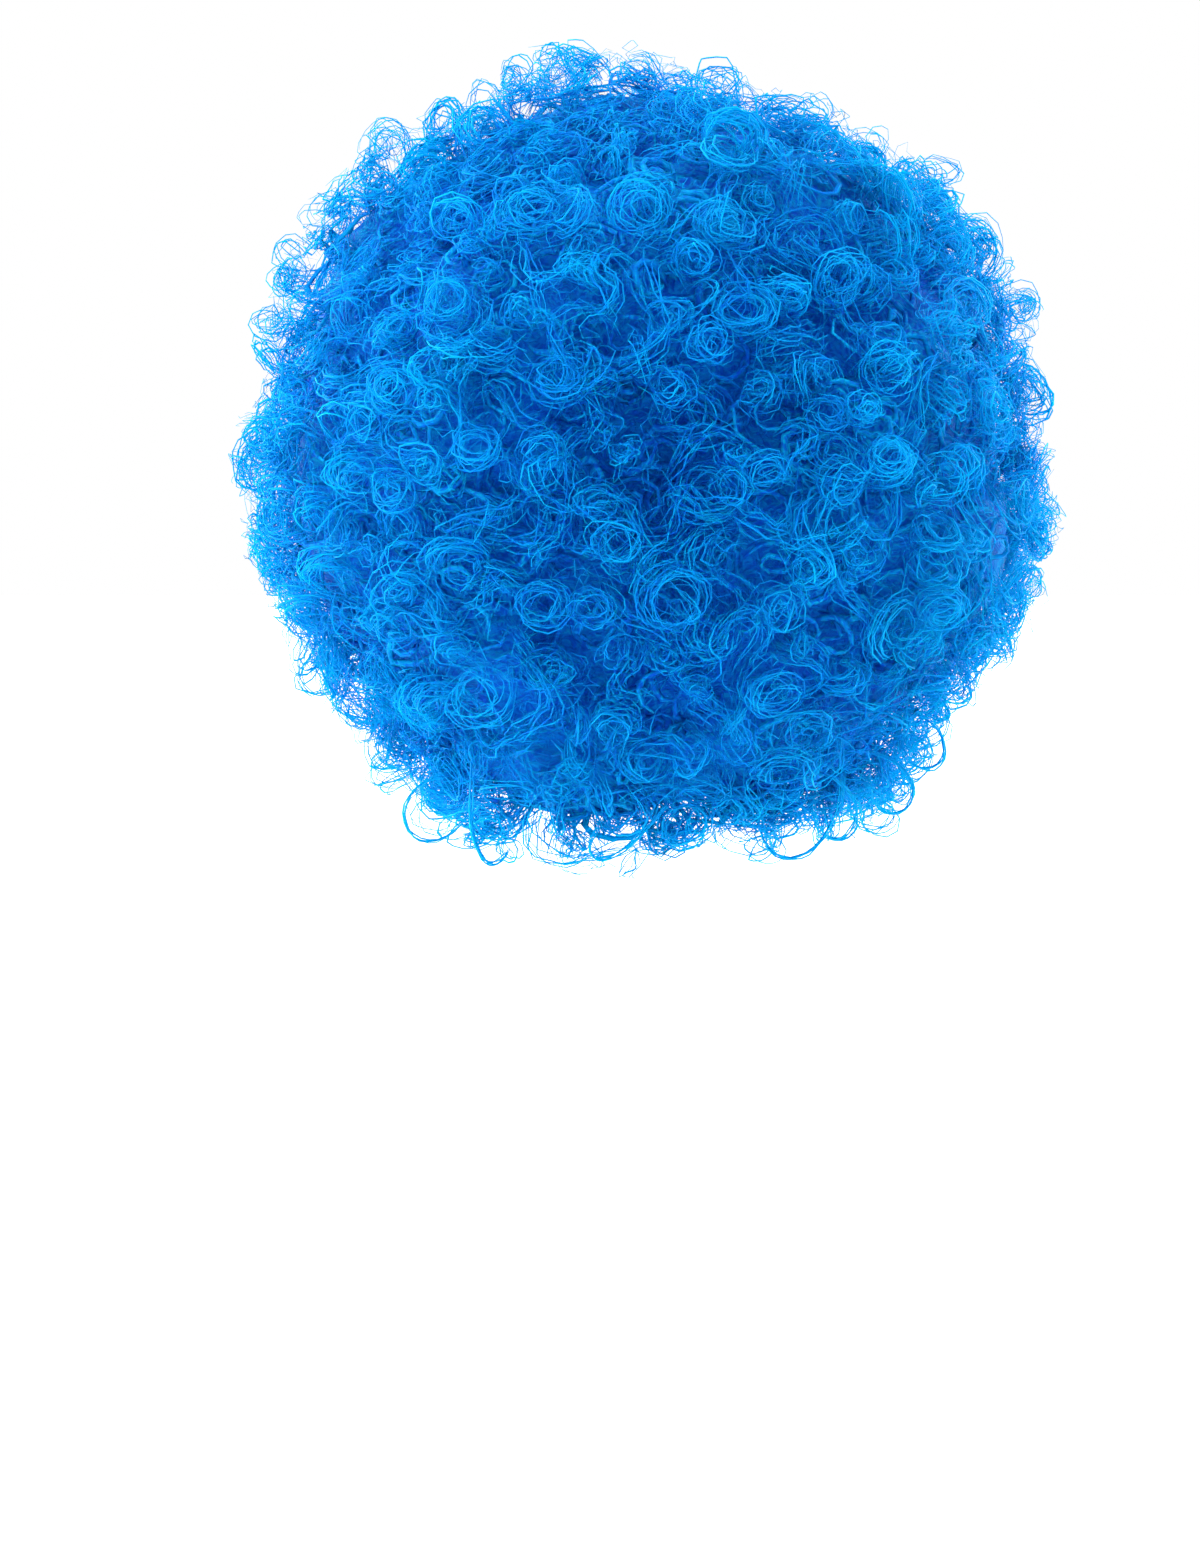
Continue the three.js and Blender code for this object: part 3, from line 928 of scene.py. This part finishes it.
def linear(colour: str) -> tuple[float, float, float, float]:
    """Linear colour of an sRGB hex value such as "0867c9"."""
    channels = [int(colour[n:n + 2], 16) / 255 for n in (0, 2, 4)]
    return (*(c / 12.92 if c <= 0.04045 else ((c + 0.055) / 1.055) ** 2.4 for c in channels), 1.0)


def add_node(
    tree: bpy.types.NodeTree, kind: str, settings: dict | None = None, **inputs: object
) -> bpy.types.Node:
    """Adds a node with its settings and links.

    Args:
        tree: tree that the node goes in.
        kind: the node's type without its prefix, such as "TexNoise".
        settings: the node's own properties.
        inputs: a value or an output for each input: its name with _ for spaces, or in0, in1 for its place.

    Returns:
        The node.
    """
    node = tree.nodes.new("ShaderNode" + kind)
    for name, value in (settings or {}).items():
        setattr(node, name, value)
    for name, value in inputs.items():
        socket = node.inputs[int(name[2:])] if name[2:].isdigit() else node.inputs[name.replace("_", " ")]
        if isinstance(value, bpy.types.NodeSocket):
            tree.links.new(value, socket)
        else:
            socket.default_value = value
    return node


def new_material(name: str) -> tuple[bpy.types.Material, bpy.types.NodeTree]:
    """An empty material and its node tree."""
    material = bpy.data.materials.new(name)
    material.use_nodes = True
    material.node_tree.nodes.clear()
    return material, material.node_tree


def set_ramp(node: bpy.types.Node, stops: list[tuple[float, str]]) -> None:
    """Sets a colour ramp's stops from places and hex colours."""
    elements = node.color_ramp.elements
    while len(elements) < len(stops):
        elements.new(0.5)
    for element, (place, colour) in zip(elements, stops):
        element.position = place
        element.color = linear(colour)


def clothe(
    tree: bpy.types.NodeTree, height: bpy.types.NodeSocket, stops: list[tuple[float, str]],
    relief: tuple[float, float], roughness: float, gloss: float,
) -> None:
    """Makes a cloth surface from the height of its yarn, which sets its bump and its colour: low places are
    painted darker, as shade.

    Args:
        tree: tree that the nodes go in.
        height: low in the gaps and high on the yarn.
        stops: places on that height, with their colours.
        relief: strength and distance of the bump.
        roughness: the surface's roughness.
        gloss: the surface's specular level.
    """
    strength, distance = relief
    # Painted shade: the ramp darkens the low gaps and grooves.
    ramp = add_node(tree, "ValToRGB", Fac=height)
    set_ramp(ramp, stops)
    bump = add_node(tree, "Bump", Strength=strength, Distance=distance, Height=height)
    surface = add_node(
        tree, "BsdfPrincipled", Base_Color=ramp.outputs[0], Roughness=roughness, Normal=bump.outputs[0],
    )
    surface.inputs["Specular IOR Level"].default_value = gloss
    add_node(tree, "OutputMaterial", Surface=surface.outputs[0])


def dress(piece: bpy.types.Object, material: bpy.types.Material, node: str) -> bpy.types.Object:
    """Gives the piece its material, body and slot, and hides the node that it stands for."""
    piece.data.materials.append(material)
    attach(piece, "root")
    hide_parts(node)
    return piece


@dataclass(frozen=True)
class CrimpedFibre:
    """Crimped acrylic fibre, dyed in the mass: soft gloss along the strands, and light through the strands.

    Its colour is painted darker with depth below the hair's surface, as painted shade, down to a dark
    saturated blue, and lighter on the outer curls, as painted light, up to azure.
    """

    name: str = "crimped_acrylic_fibre"
    # Ramp stops: painted shade, darkest lowest in the hair, up to painted light on the outermost curls.
    deepest_shade: str = "0047c8"
    deep_shade: str = "0068dc"
    middle: str = "0096e2"
    outer_light: str = "00c0ee"
    depth_range: float = 22.0
    lines_per_mm: float = 1.1
    through: str = "08d6f6"
    painted_depth_shade: tuple[float, float] = (-0.51, -0.04)
    tone_weight: float = 0.14
    line_weight: float = 1.5
    swirl_size: float = 0.015
    swirl_lines: float = 75.0
    swirl_weight: float = 0.30
    swirl_from: float = 5.0
    swirl_full: float = 12.0
    swirl_fineness: float = 9.0
    swirl_shake: float = 5.0
    line_stretch: float = 0.35
    stops: tuple[float, ...] = (0.28, 0.50, 0.72, 0.95)
    relief: tuple[float, float] = (0.9, 0.5 * MM)
    roughness: float = 0.6
    gloss: float = 0.05
    glow: float = 0.5

    def build(self) -> bpy.types.Material:
        """Makes the material: a ramp of painted depth shade, tone and fine lines, with a bump of the same
        lines.

        The outer strands have lines along the fibre. The matted hair below them has swirled lines.
        """
        material, tree = new_material(self.name)
        uv = add_node(tree, "UVMap", {"uv_map": "fibre"})
        scale = (self.line_stretch, self.lines_per_mm, 1.0)
        stretch = add_node(tree, "Mapping", Vector=uv.outputs[0], Scale=scale)
        lines = add_node(tree, "TexNoise", Vector=stretch.outputs[0], Scale=1.0, Detail=3.0, Roughness=0.7)
        depth = add_node(tree, "Attribute", {"attribute_name": "depth"})
        tone = add_node(tree, "Attribute", {"attribute_name": "tone"})
        product = {"operation": "MULTIPLY_ADD"}
        buried, outmost = self.painted_depth_shade
        level, line = depth.outputs["Fac"], lines.outputs["Fac"]
        # Painted shade and light: the colour darkens with depth below the hair's surface and lightens towards
        # the outer curls.
        painted_shade = add_node(tree, "MapRange", Value=level, in1=self.depth_range, in2=0.0, in3=buried, in4=outmost)
        toned = add_node(
            tree, "Math", product, in0=tone.outputs["Fac"], in1=self.tone_weight, in2=painted_shade.outputs[0],
        )
        lined = add_node(tree, "Math", product, in0=line, in1=self.line_weight, in2=toned.outputs[0])
        matted = add_node(
            tree, "MapRange", Value=level, in1=self.swirl_from, in2=self.swirl_full, in3=0.0,
            in4=self.swirl_weight,
        ).outputs[0]
        swirl = self.swirl(tree)
        mixed = add_node(tree, "Math", product, in0=swirl, in1=matted, in2=lined.outputs[0])
        ramp = add_node(tree, "ValToRGB", Fac=mixed.outputs[0])
        set_ramp(ramp, list(zip(self.stops, (self.deepest_shade, self.deep_shade, self.middle, self.outer_light))))
        raised = add_node(tree, "Math", product, in0=swirl, in1=matted, in2=line)
        strength, distance = self.relief
        bump = add_node(tree, "Bump", Strength=strength, Distance=distance, Height=raised.outputs[0])
        surface = add_node(
            tree, "BsdfPrincipled", Base_Color=ramp.outputs[0], Roughness=self.roughness,
            Normal=bump.outputs[0],
        )
        surface.inputs["Specular IOR Level"].default_value = self.gloss
        through = add_node(tree, "BsdfTranslucent", Color=linear(self.through), Normal=bump.outputs[0])
        both = add_node(tree, "MixShader", Fac=self.glow, in1=surface.outputs[0], in2=through.outputs[0])
        add_node(tree, "OutputMaterial", Surface=both.outputs[0])
        return material

    def swirl(self, tree: bpy.types.NodeTree) -> bpy.types.NodeSocket:
        """Swirled lines: the sine of a smooth noise, whose contour lines wind like the fibres of curls.

        Args:
            tree: tree that the nodes go in.

        Returns:
            Output from -1 to 1, the higher of two sets of lines that cross.
        """
        place = add_node(tree, "TexCoord").outputs["Object"]
        broad = add_node(tree, "TexNoise", Vector=place, Scale=1 / self.swirl_size, Detail=1.0)
        scale = self.swirl_fineness / self.swirl_size
        fine = add_node(tree, "TexNoise", Vector=place, Scale=scale, Detail=1.0)
        hills = add_node(tree, "SeparateColor", Color=broad.outputs["Color"])
        times, product = {"operation": "MULTIPLY"}, {"operation": "MULTIPLY_ADD"}
        shaken = add_node(tree, "Math", times, in0=fine.outputs["Fac"], in1=self.swirl_shake)
        sets = []
        for hill in hills.outputs[:2]:
            phase = add_node(tree, "Math", product, in0=hill, in1=self.swirl_lines, in2=shaken.outputs[0])
            sets.append(add_node(tree, "Math", {"operation": "SINE"}, in0=phase.outputs[0]).outputs[0])
        return add_node(tree, "Math", {"operation": "MAXIMUM"}, in0=sets[0], in1=sets[1]).outputs[0]


@dataclass(frozen=True)
class KnittedNet:
    """Warp-knitted polyester net, matt: loops in staggered columns with small holes between them, painted
    dark as the shade seen through them.
    """

    name: str = "knitted_polyester_net"
    yarn: str = "15458a"
    # Colour of the holes: painted shade seen through the net.
    hole: str = "071c40"
    loop_size: float = 2.6
    wave_scale: float = 0.32
    distortion: float = 0.6
    relief: tuple[float, float] = (0.8, 0.6 * MM)
    roughness: float = 0.85
    gloss: float = 0.2

    def build(self) -> bpy.types.Material:
        """Makes the material: rows of round holes from two crossed waves, which are low and painted dark as
        the shade seen through them.
        """
        material, tree = new_material(self.name)
        uv = add_node(tree, "UVMap", {"uv_map": "fibre"})
        scale = 10.0 / self.loop_size
        turn = (0, 0, math.radians(45))
        turned = add_node(tree, "Mapping", Vector=uv.outputs[0], Rotation=turn, Scale=(scale, scale, 1.0))
        waves = [
            add_node(
                tree, "TexWave", {"bands_direction": way}, Vector=turned.outputs[0], Scale=self.wave_scale,
                Distortion=self.distortion,
            ).outputs["Fac"]
            for way in "XY"
        ]
        both = add_node(tree, "Math", {"operation": "MAXIMUM"}, in0=waves[0], in1=waves[1])
        stops = [(0.35, self.hole), (0.6, self.yarn)]
        clothe(tree, both.outputs[0], stops, self.relief, self.roughness, self.gloss)
        return material


@dataclass(frozen=True)
class RibbedElastic:
    """Woven elastic tape: fine upright ribs over rubber cores, with a slight sheen."""

    name: str = "ribbed_woven_elastic"
    rib: str = "123f86"
    # Colour of the grooves: painted shade between the ribs.
    groove_shade: str = "081f48"
    rib_spacing: float = 1.4
    bands_per_unit: float = TURN * 3.2
    weave_fineness: float = 2.2
    weave_weight: float = 0.25
    relief: tuple[float, float] = (0.7, 0.5 * MM)
    roughness: float = 0.75
    gloss: float = 0.3

    def build(self) -> bpy.types.Material:
        """Makes the material: ribs from one wave round the band, broken up by a fine weave, with the low
        grooves painted darker as shade.
        """
        material, tree = new_material(self.name)
        uv = add_node(tree, "UVMap", {"uv_map": "fibre"})
        place = uv.outputs[0]
        scale = 10.0 / self.rib_spacing / self.bands_per_unit
        ribs = add_node(tree, "TexWave", {"bands_direction": "X"}, Vector=place, Scale=scale, Distortion=0.3)
        scale = scale * self.weave_fineness
        weave = add_node(tree, "TexWave", {"bands_direction": "Y"}, Vector=place, Scale=scale, Distortion=0.4)
        both = add_node(
            tree, "Math", {"operation": "MULTIPLY_ADD"}, in0=weave.outputs["Fac"], in1=self.weave_weight,
            in2=ribs.outputs["Fac"],
        )
        stops = [(0.2, self.groove_shade), (0.8, self.rib)]
        clothe(tree, both.outputs[0], stops, self.relief, self.roughness, self.gloss)
        return material


@dataclass(frozen=True)
class PaintedFloor:
    """Matt white painted floor: plain and pale."""

    name: str = "matt_white_floor"
    paint: str = "f2f4f6"

    def build(self) -> bpy.types.Material:
        """Makes the material: one matt paint with the faintest mottle."""
        material, tree = new_material(self.name)
        place = add_node(tree, "TexCoord")
        mottle = add_node(tree, "TexNoise", Vector=place.outputs["Object"], Scale=6.0)
        ramp = add_node(tree, "ValToRGB", Fac=mottle.outputs["Fac"])
        set_ramp(ramp, [(0.0, self.paint), (1.0, "ffffff")])
        surface = add_node(tree, "BsdfPrincipled", Base_Color=ramp.outputs[0], Roughness=0.9)
        add_node(tree, "OutputMaterial", Surface=surface.outputs[0])
        return material


@dataclass
class CapShell:
    """Knitted cap and its elastic edge: smooth walls on the head form."""

    head: HeadForm
    cap_wall: float = 0.0015
    band_wall: float = 0.0018
    band_height: float = 0.014
    sew_gap: float = 0.0004
    columns: int = 96
    rings: int = 26
    band_rings: int = 6
    pole_gap: float = 0.012
    cap_depth: float = 0.15
    radius_cm: float = 8.8

    def wall(self, drops: np.ndarray, around: np.ndarray, margin: float) -> np.ndarray:
        """Closed section of a wall: down its outside and back up its inside.

        Args:
            drops: drops of the wall's rings (rings, columns).
            around: angle of each column.
            margin: the wall's thickness.

        Returns:
            Points (2 * rings, columns, 3), outside first.
        """
        outer = self.head.point(around, drops, margin)
        inner = self.head.point(around, drops, 0.0)
        return np.concatenate([outer, inner[::-1]])

    def uvs(self, rows: int, height: float) -> np.ndarray:
        """Fibre coordinates in centimetres: round the head, and down the wall."""
        round_head = np.linspace(0, TURN * self.radius_cm, self.columns + 1)
        down = np.linspace(0, height * 2 / (10 * MM), rows + 1)
        return np.stack(np.meshgrid(round_head, down), axis=-1)

    def cap(self, material: bpy.types.Material) -> bpy.types.Object:
        """The net cap: a dome that ends where the elastic begins."""
        around = np.arange(self.columns) / self.columns * TURN
        lowest = self.head.rim(around) - self.band_height - self.sew_gap
        rise = 1 - np.cos(np.linspace(self.pole_gap, 1, self.rings)[:, None] * math.pi / 2)
        drops = lowest * rise
        grid = self.wall(drops, around, self.cap_wall)
        parts = MeshParts()
        parts.add_grid(grid, False, True, self.uvs(len(grid), self.cap_depth), 0.5)
        outer_pole = parts.add_points(np.array([[0, 0, self.cap_wall]]), np.array([0.5]))
        inner_pole = parts.add_points(np.array([[0, 0, 0]]), np.array([0.5]))
        ring = np.arange(self.columns)
        after = np.roll(ring, -1)
        last = (len(grid) - 1) * self.columns
        top = np.stack([np.full_like(ring, outer_pole), ring, after], axis=-1)
        under = np.stack([np.full_like(ring, inner_pole), last + after, last + ring], axis=-1)
        parts.caps.extend([top, under])
        parts.cap_uvs.extend([np.zeros((self.columns, 3, 2))] * 2)
        return dress(parts.build("knitted_net_cap"), material, "net_cap")

    def band(self, material: bpy.types.Material) -> bpy.types.Object:
        """The elastic edge: a band of one height that follows the rim."""
        around = np.arange(self.columns) / self.columns * TURN
        rings = np.linspace(1, 0, self.band_rings)[:, None]
        grid = self.wall(self.head.rim(around) - rings * self.band_height, around, self.band_wall)
        parts = MeshParts()
        parts.add_grid(grid, True, True, self.uvs(len(grid), self.band_height), 0.5)
        return dress(parts.build("ribbed_elastic_edge"), material, "elastic_band")


@dataclass
class HairRow:
    """One sewn row of hair: a matted core round the head, its layers of curls, large ringlets and strays."""

    ball: HairBall
    number: int
    layers: dict[Layer, Sites]
    rng: np.random.Generator
    ringlets: tuple[Ringlet, ...] = ()
    strays: tuple[Stray, ...] = ()
    core_depth: float = 0.019
    edge_lift: float = 0.009
    edge_radius: float = 0.120
    edge_blend: float = 0.15
    inner_lift: float = 0.014
    core_lump: float = 0.0016
    core_gap: float = 0.0004
    facet: float = 0.0065
    pole: float = 0.02
    lift_run: float = 0.012
    lines_round: float = 16.0

    @property
    def node(self) -> str:
        """Name of the row's node."""
        return "crown_tuft" if self.number == 0 else f"hair_row_{self.number}"

    def build(self, material: bpy.types.Material) -> bpy.types.Object:
        """Makes the row's piece in place of its node.

        Args:
            material: finish of all its hair.

        Returns:
            The piece.
        """
        parts = MeshParts()
        self.add_core(parts)
        curler = Curler(self.ball, self.rng)
        for layer, sites in self.layers.items():
            if not len(sites.point):
                continue
            made = curler.curls(CURLS[layer], sites) if layer in CURLS else curler.waves(WAVES[layer], sites)
            for strands in made:
                parts.add_strands(strands)
        for ringlet in self.ringlets:
            parts.add_strands(curler.curls(ringlet.style(), ringlet.site(self.ball))[0])
        for lock in self.strays:
            parts.add_strands(curler.stray(lock))
        name = "curly_crown" if self.number == 0 else f"curly_row_{self.number}"
        return dress(parts.build(name, self.ball), material, self.node)

    def add_core(self, parts: MeshParts) -> None:
        """Adds the matted hair under the curls: a closed wall between the head and the ball's surface.

        Its section runs down the outside from the row's top cone to its bottom cone and back up along the
        head, and is carried round the head. It stays back from the hem, the face and the neck by the room
        that the curls there need. Small waves roughen the outside.

        Args:
            parts: mesh that the core is added to.
        """
        ball = self.ball
        edges = ball.row_edges()
        top, bottom = edges[self.number], edges[self.number + 1]
        slit = self.core_gap / ball.side
        lift = self.edge_lift / self.edge_radius
        open_row = self.number > ball.ring_rows
        opening = ball.face_half_angle + lift if open_row else 0.0
        sweep = TURN - 2 * opening
        steps = max(4, round((bottom - top) * ball.side / self.facet))
        columns = max(24, round(sweep * ball.side * math.sin((top + bottom) / 2) / self.facet))
        around = -math.pi / 2 + opening + np.arange(columns + open_row) / columns * sweep
        begin = top + slit if self.number else self.pole
        end = bottom - slit - lift * self.at_edge(around)
        polar = mix(begin, end, np.linspace(0, 1, steps + 1)[:, None])
        outer = ball.surface(polar, around, self.core_depth + self.roughen(polar, around))
        inner_reach = ball.head_reach(polar, around, ball.head_margin)
        inner_drop = -ball.centre[2] - np.cos(polar) * inner_reach
        below_rim = inner_drop - ball.head.rim(around)
        inner_reach = inner_reach + self.inner_lift * smooth(below_rim, 0.0, self.lift_run)
        inner = np.array(ball.centre) + direction(polar, around) * inner_reach[..., None]
        grid = np.concatenate([outer, inner[::-1]])
        rows = len(grid)
        round_head = np.linspace(0, sweep * self.lines_round, columns + 1)
        across, down = np.meshgrid(round_head, np.arange(rows + 1) * self.facet / MM)
        broad, fine = 5 * np.sin(across * 1.3), 3 * np.sin(across * 2.9 + down * 0.1)
        uvs = np.stack([across, down + broad + fine], axis=-1)
        parts.add_grid(grid, True, not open_row, uvs, 0.4)
        if open_row:
            self.close_ends(parts, rows, columns + 1)

    def at_edge(self, around: np.ndarray) -> np.ndarray:
        """Share to which the row's bottom is a free edge: 1 at the hem and over the face, 0 elsewhere."""
        if self.number == self.ball.ring_rows + self.ball.open_rows:
            return np.ones_like(around)
        if self.number != self.ball.ring_rows:
            return np.zeros_like(around)
        half = self.ball.face_half_angle
        return 1 - smooth(self.ball.off_face(around), half, half + self.edge_blend)

    def roughen(self, polar: np.ndarray, around: np.ndarray) -> np.ndarray:
        """Height of the core's small waves."""
        down = np.sin(polar * 60 + 3 * np.sin(around * 9))
        across = np.cos(around * 31 + 4 * np.sin(polar * 17))
        return self.core_lump * down * across

    @staticmethod
    def close_ends(parts: MeshParts, rows: int, columns: int) -> None:
        """Closes both ends of an open row with a strip between its outside and its inside.

        Args:
            parts: mesh whose last points are the row's grid.
            rows, columns: size of that grid.
        """
        first = parts.total - rows * columns
        half = rows // 2
        outer = first + np.arange(half) * columns
        inner = first + (rows - 1 - np.arange(half)) * columns
        last = columns - 1
        start = np.stack([outer[:-1], inner[:-1], inner[1:], outer[1:]], axis=-1)
        end = np.stack([outer[1:], inner[1:], inner[:-1], outer[:-1]], axis=-1) + last
        for strip in (start, end):
            parts.quads.append(strip)
            parts.quad_uvs.append(np.tile([[0, 0], [1, 0], [1, 1], [0, 1]], (len(strip), 1, 1)).astype(float))


@dataclass
class Studio:
    """Pale floor, soft lights and the camera at the photo's angle."""

    distance: float = 2.6
    elevation: float = math.radians(4)
    aim: tuple[float, float, float] = (0.021, 0.006, -0.195)
    frame_height: float = 0.654
    sensor: float = 36.0
    floor_drop: float = 0.75
    floor_size: float = 14.0
    backdrop_span: tuple[float, float] = (-0.3, 0.6)
    ceiling_span: tuple[float, float] = (0.2, 0.9)
    side_span: tuple[float, float] = (0.4, 1.0)
    backdrop_light: float = 1.4
    room_light: float = 0.15
    ceiling_light: float = 1.1
    side_light: float = 0.95

    def build(self) -> None:
        """Makes the floor, the light from all round, the lamps and the camera."""
        self.floor()
        self.world()
        self.lamp("left_softbox", (2.0, 0.2, 0.4), 2.0, 60)
        self.lamp("right_softbox", (-2.0, 0.2, 0.3), 2.0, 22)
        self.lamp("top_softbox", (0.2, 0.0, 2.0), 2.0, 60)
        self.lamp("left_rim", (1.3, -1.3, 0.0), 1.2, 40)
        self.lamp("right_rim", (-1.3, -1.3, 0.0), 1.2, 40)
        self.camera()

    def floor(self) -> None:
        """A square of matt white floor."""
        half = self.floor_size / 2
        mesh = bpy.data.meshes.new("floor")
        corners = [(-half, -half), (half, -half), (half, half), (-half, half)]
        mesh.from_pydata([(x, y, -self.floor_drop) for x, y in corners], [], [(0, 1, 2, 3)])
        floor = bpy.data.objects.new("floor", mesh)
        bpy.context.scene.collection.objects.link(floor)
        mesh.materials.append(PaintedFloor().build())

    def world(self) -> None:
        """White backdrop that is seen from everywhere, and lights the wig least from behind its nape."""
        world = bpy.data.worlds.new("white_studio")
        world.use_nodes = True
        tree = world.node_tree
        tree.nodes.clear()
        place = add_node(tree, "TexCoord")
        way = add_node(tree, "SeparateXYZ", Vector=place.outputs["Generated"])
        aside = add_node(tree, "Math", {"operation": "ABSOLUTE"}, in0=way.outputs["X"])
        spans = (
            (way.outputs["Y"], self.backdrop_span, self.backdrop_light, self.room_light),
            (way.outputs["Z"], self.ceiling_span, 0.0, self.ceiling_light),
            (aside.outputs[0], self.side_span, 0.0, self.side_light),
        )
        level, above, beside = (
            add_node(tree, "MapRange", Value=value, in1=span[0], in2=span[1], in3=low, in4=high).outputs[0]
            for value, span, low, high in spans
        )
        most = add_node(tree, "Math", {"operation": "ADD"}, in0=level, in1=above)
        light = add_node(tree, "Math", {"operation": "ADD"}, in0=most.outputs[0], in1=beside)
        rays = add_node(tree, "LightPath")
        lit = add_node(tree, "Background", Strength=light.outputs[0])
        seen = add_node(tree, "Background", Strength=1.0)
        for shader in (lit, seen):
            shader.inputs["Color"].default_value = (1.0, 1.0, 1.0, 1.0)
        camera_ray = rays.outputs["Is Camera Ray"]
        both = add_node(tree, "MixShader", Fac=camera_ray, in1=lit.outputs[0], in2=seen.outputs[0])
        add_node(tree, "OutputWorld", Surface=both.outputs[0])
        bpy.context.scene.world = world

    @staticmethod
    def lamp(name: str, place: tuple[float, float, float], size: float, power: float) -> None:
        """A square softbox that points at the wig."""
        light = bpy.data.lights.new(name, "AREA")
        light.shape = "SQUARE"
        light.size = size
        light.energy = power
        lamp = bpy.data.objects.new(name, light)
        lamp.location = place
        target = Vector(HairBall().centre)
        lamp.rotation_euler = (target - lamp.location).to_track_quat("-Z", "Y").to_euler()
        bpy.context.scene.collection.objects.link(lamp)

    def camera(self) -> None:
        """The camera behind the wig, a little above it and aimed at the middle of the photo's frame."""
        data = bpy.data.cameras.new("photo_camera")
        data.sensor_width = self.sensor
        camera = bpy.data.objects.new("photo_camera", data)
        centre = Vector(HairBall().centre)
        camera.location = (self.aim[0], self.distance, centre.z + self.distance * math.tan(self.elevation))
        way = Vector(self.aim) - camera.location
        data.lens = self.sensor * way.length / self.frame_height
        camera.rotation_euler = way.to_track_quat("-Z", "Y").to_euler()
        bpy.context.scene.collection.objects.link(camera)
        bpy.context.scene.camera = camera


def report(piece: bpy.types.Object) -> None:
    """Logs a piece with its number of triangles."""
    triangles = sum(len(polygon.vertices) - 2 for polygon in piece.data.polygons)
    LOG.info("%s: %d triangles", piece.name, triangles)


def main() -> None:
    """Builds the wig piece by piece, then the studio."""
    logging.basicConfig(level=logging.INFO, format="%(name)s: %(message)s")
    bpy.context.scene.view_settings.view_transform = "Standard"
    ball = HairBall()
    rng = np.random.default_rng(SEED)
    shell = CapShell(ball.head)
    report(shell.cap(KnittedNet().build()))
    report(shell.band(RibbedElastic().build()))
    styles = {**CURLS, **WAVES}
    plans = {layer: SitePlan(ball, styles[layer].spacing, rng, styles[layer].inset) for layer in Layer}
    sites = {
        layer: plan.above_hem() if layer is Layer.HANGING else plan.sites()
        for layer, plan in plans.items()
    }
    fibre = CrimpedFibre().build()
    large = [ringlet.site(ball) for ringlet in RINGLETS]
    middles = np.concatenate([site.point for site in large])
    for layer in (Layer.RINGLET, Layer.LOCK):
        sites[layer] = sites[layer].clear_of(middles, LARGE_RINGLET.spacing)
    lowest = ball.ring_rows + ball.open_rows
    for number in range(lowest + 1):
        layers = {layer: places.where(places.row == number) for layer, places in sites.items()}
        ringlets = tuple(ringlet for ringlet, site in zip(RINGLETS, large) if site.row[0] == number)
        strays = STRAYS if number == lowest else ()
        report(HairRow(ball, number, layers, rng, ringlets, strays).build(fibre))
    Studio().build()


if __name__ == "__main__":
    main()
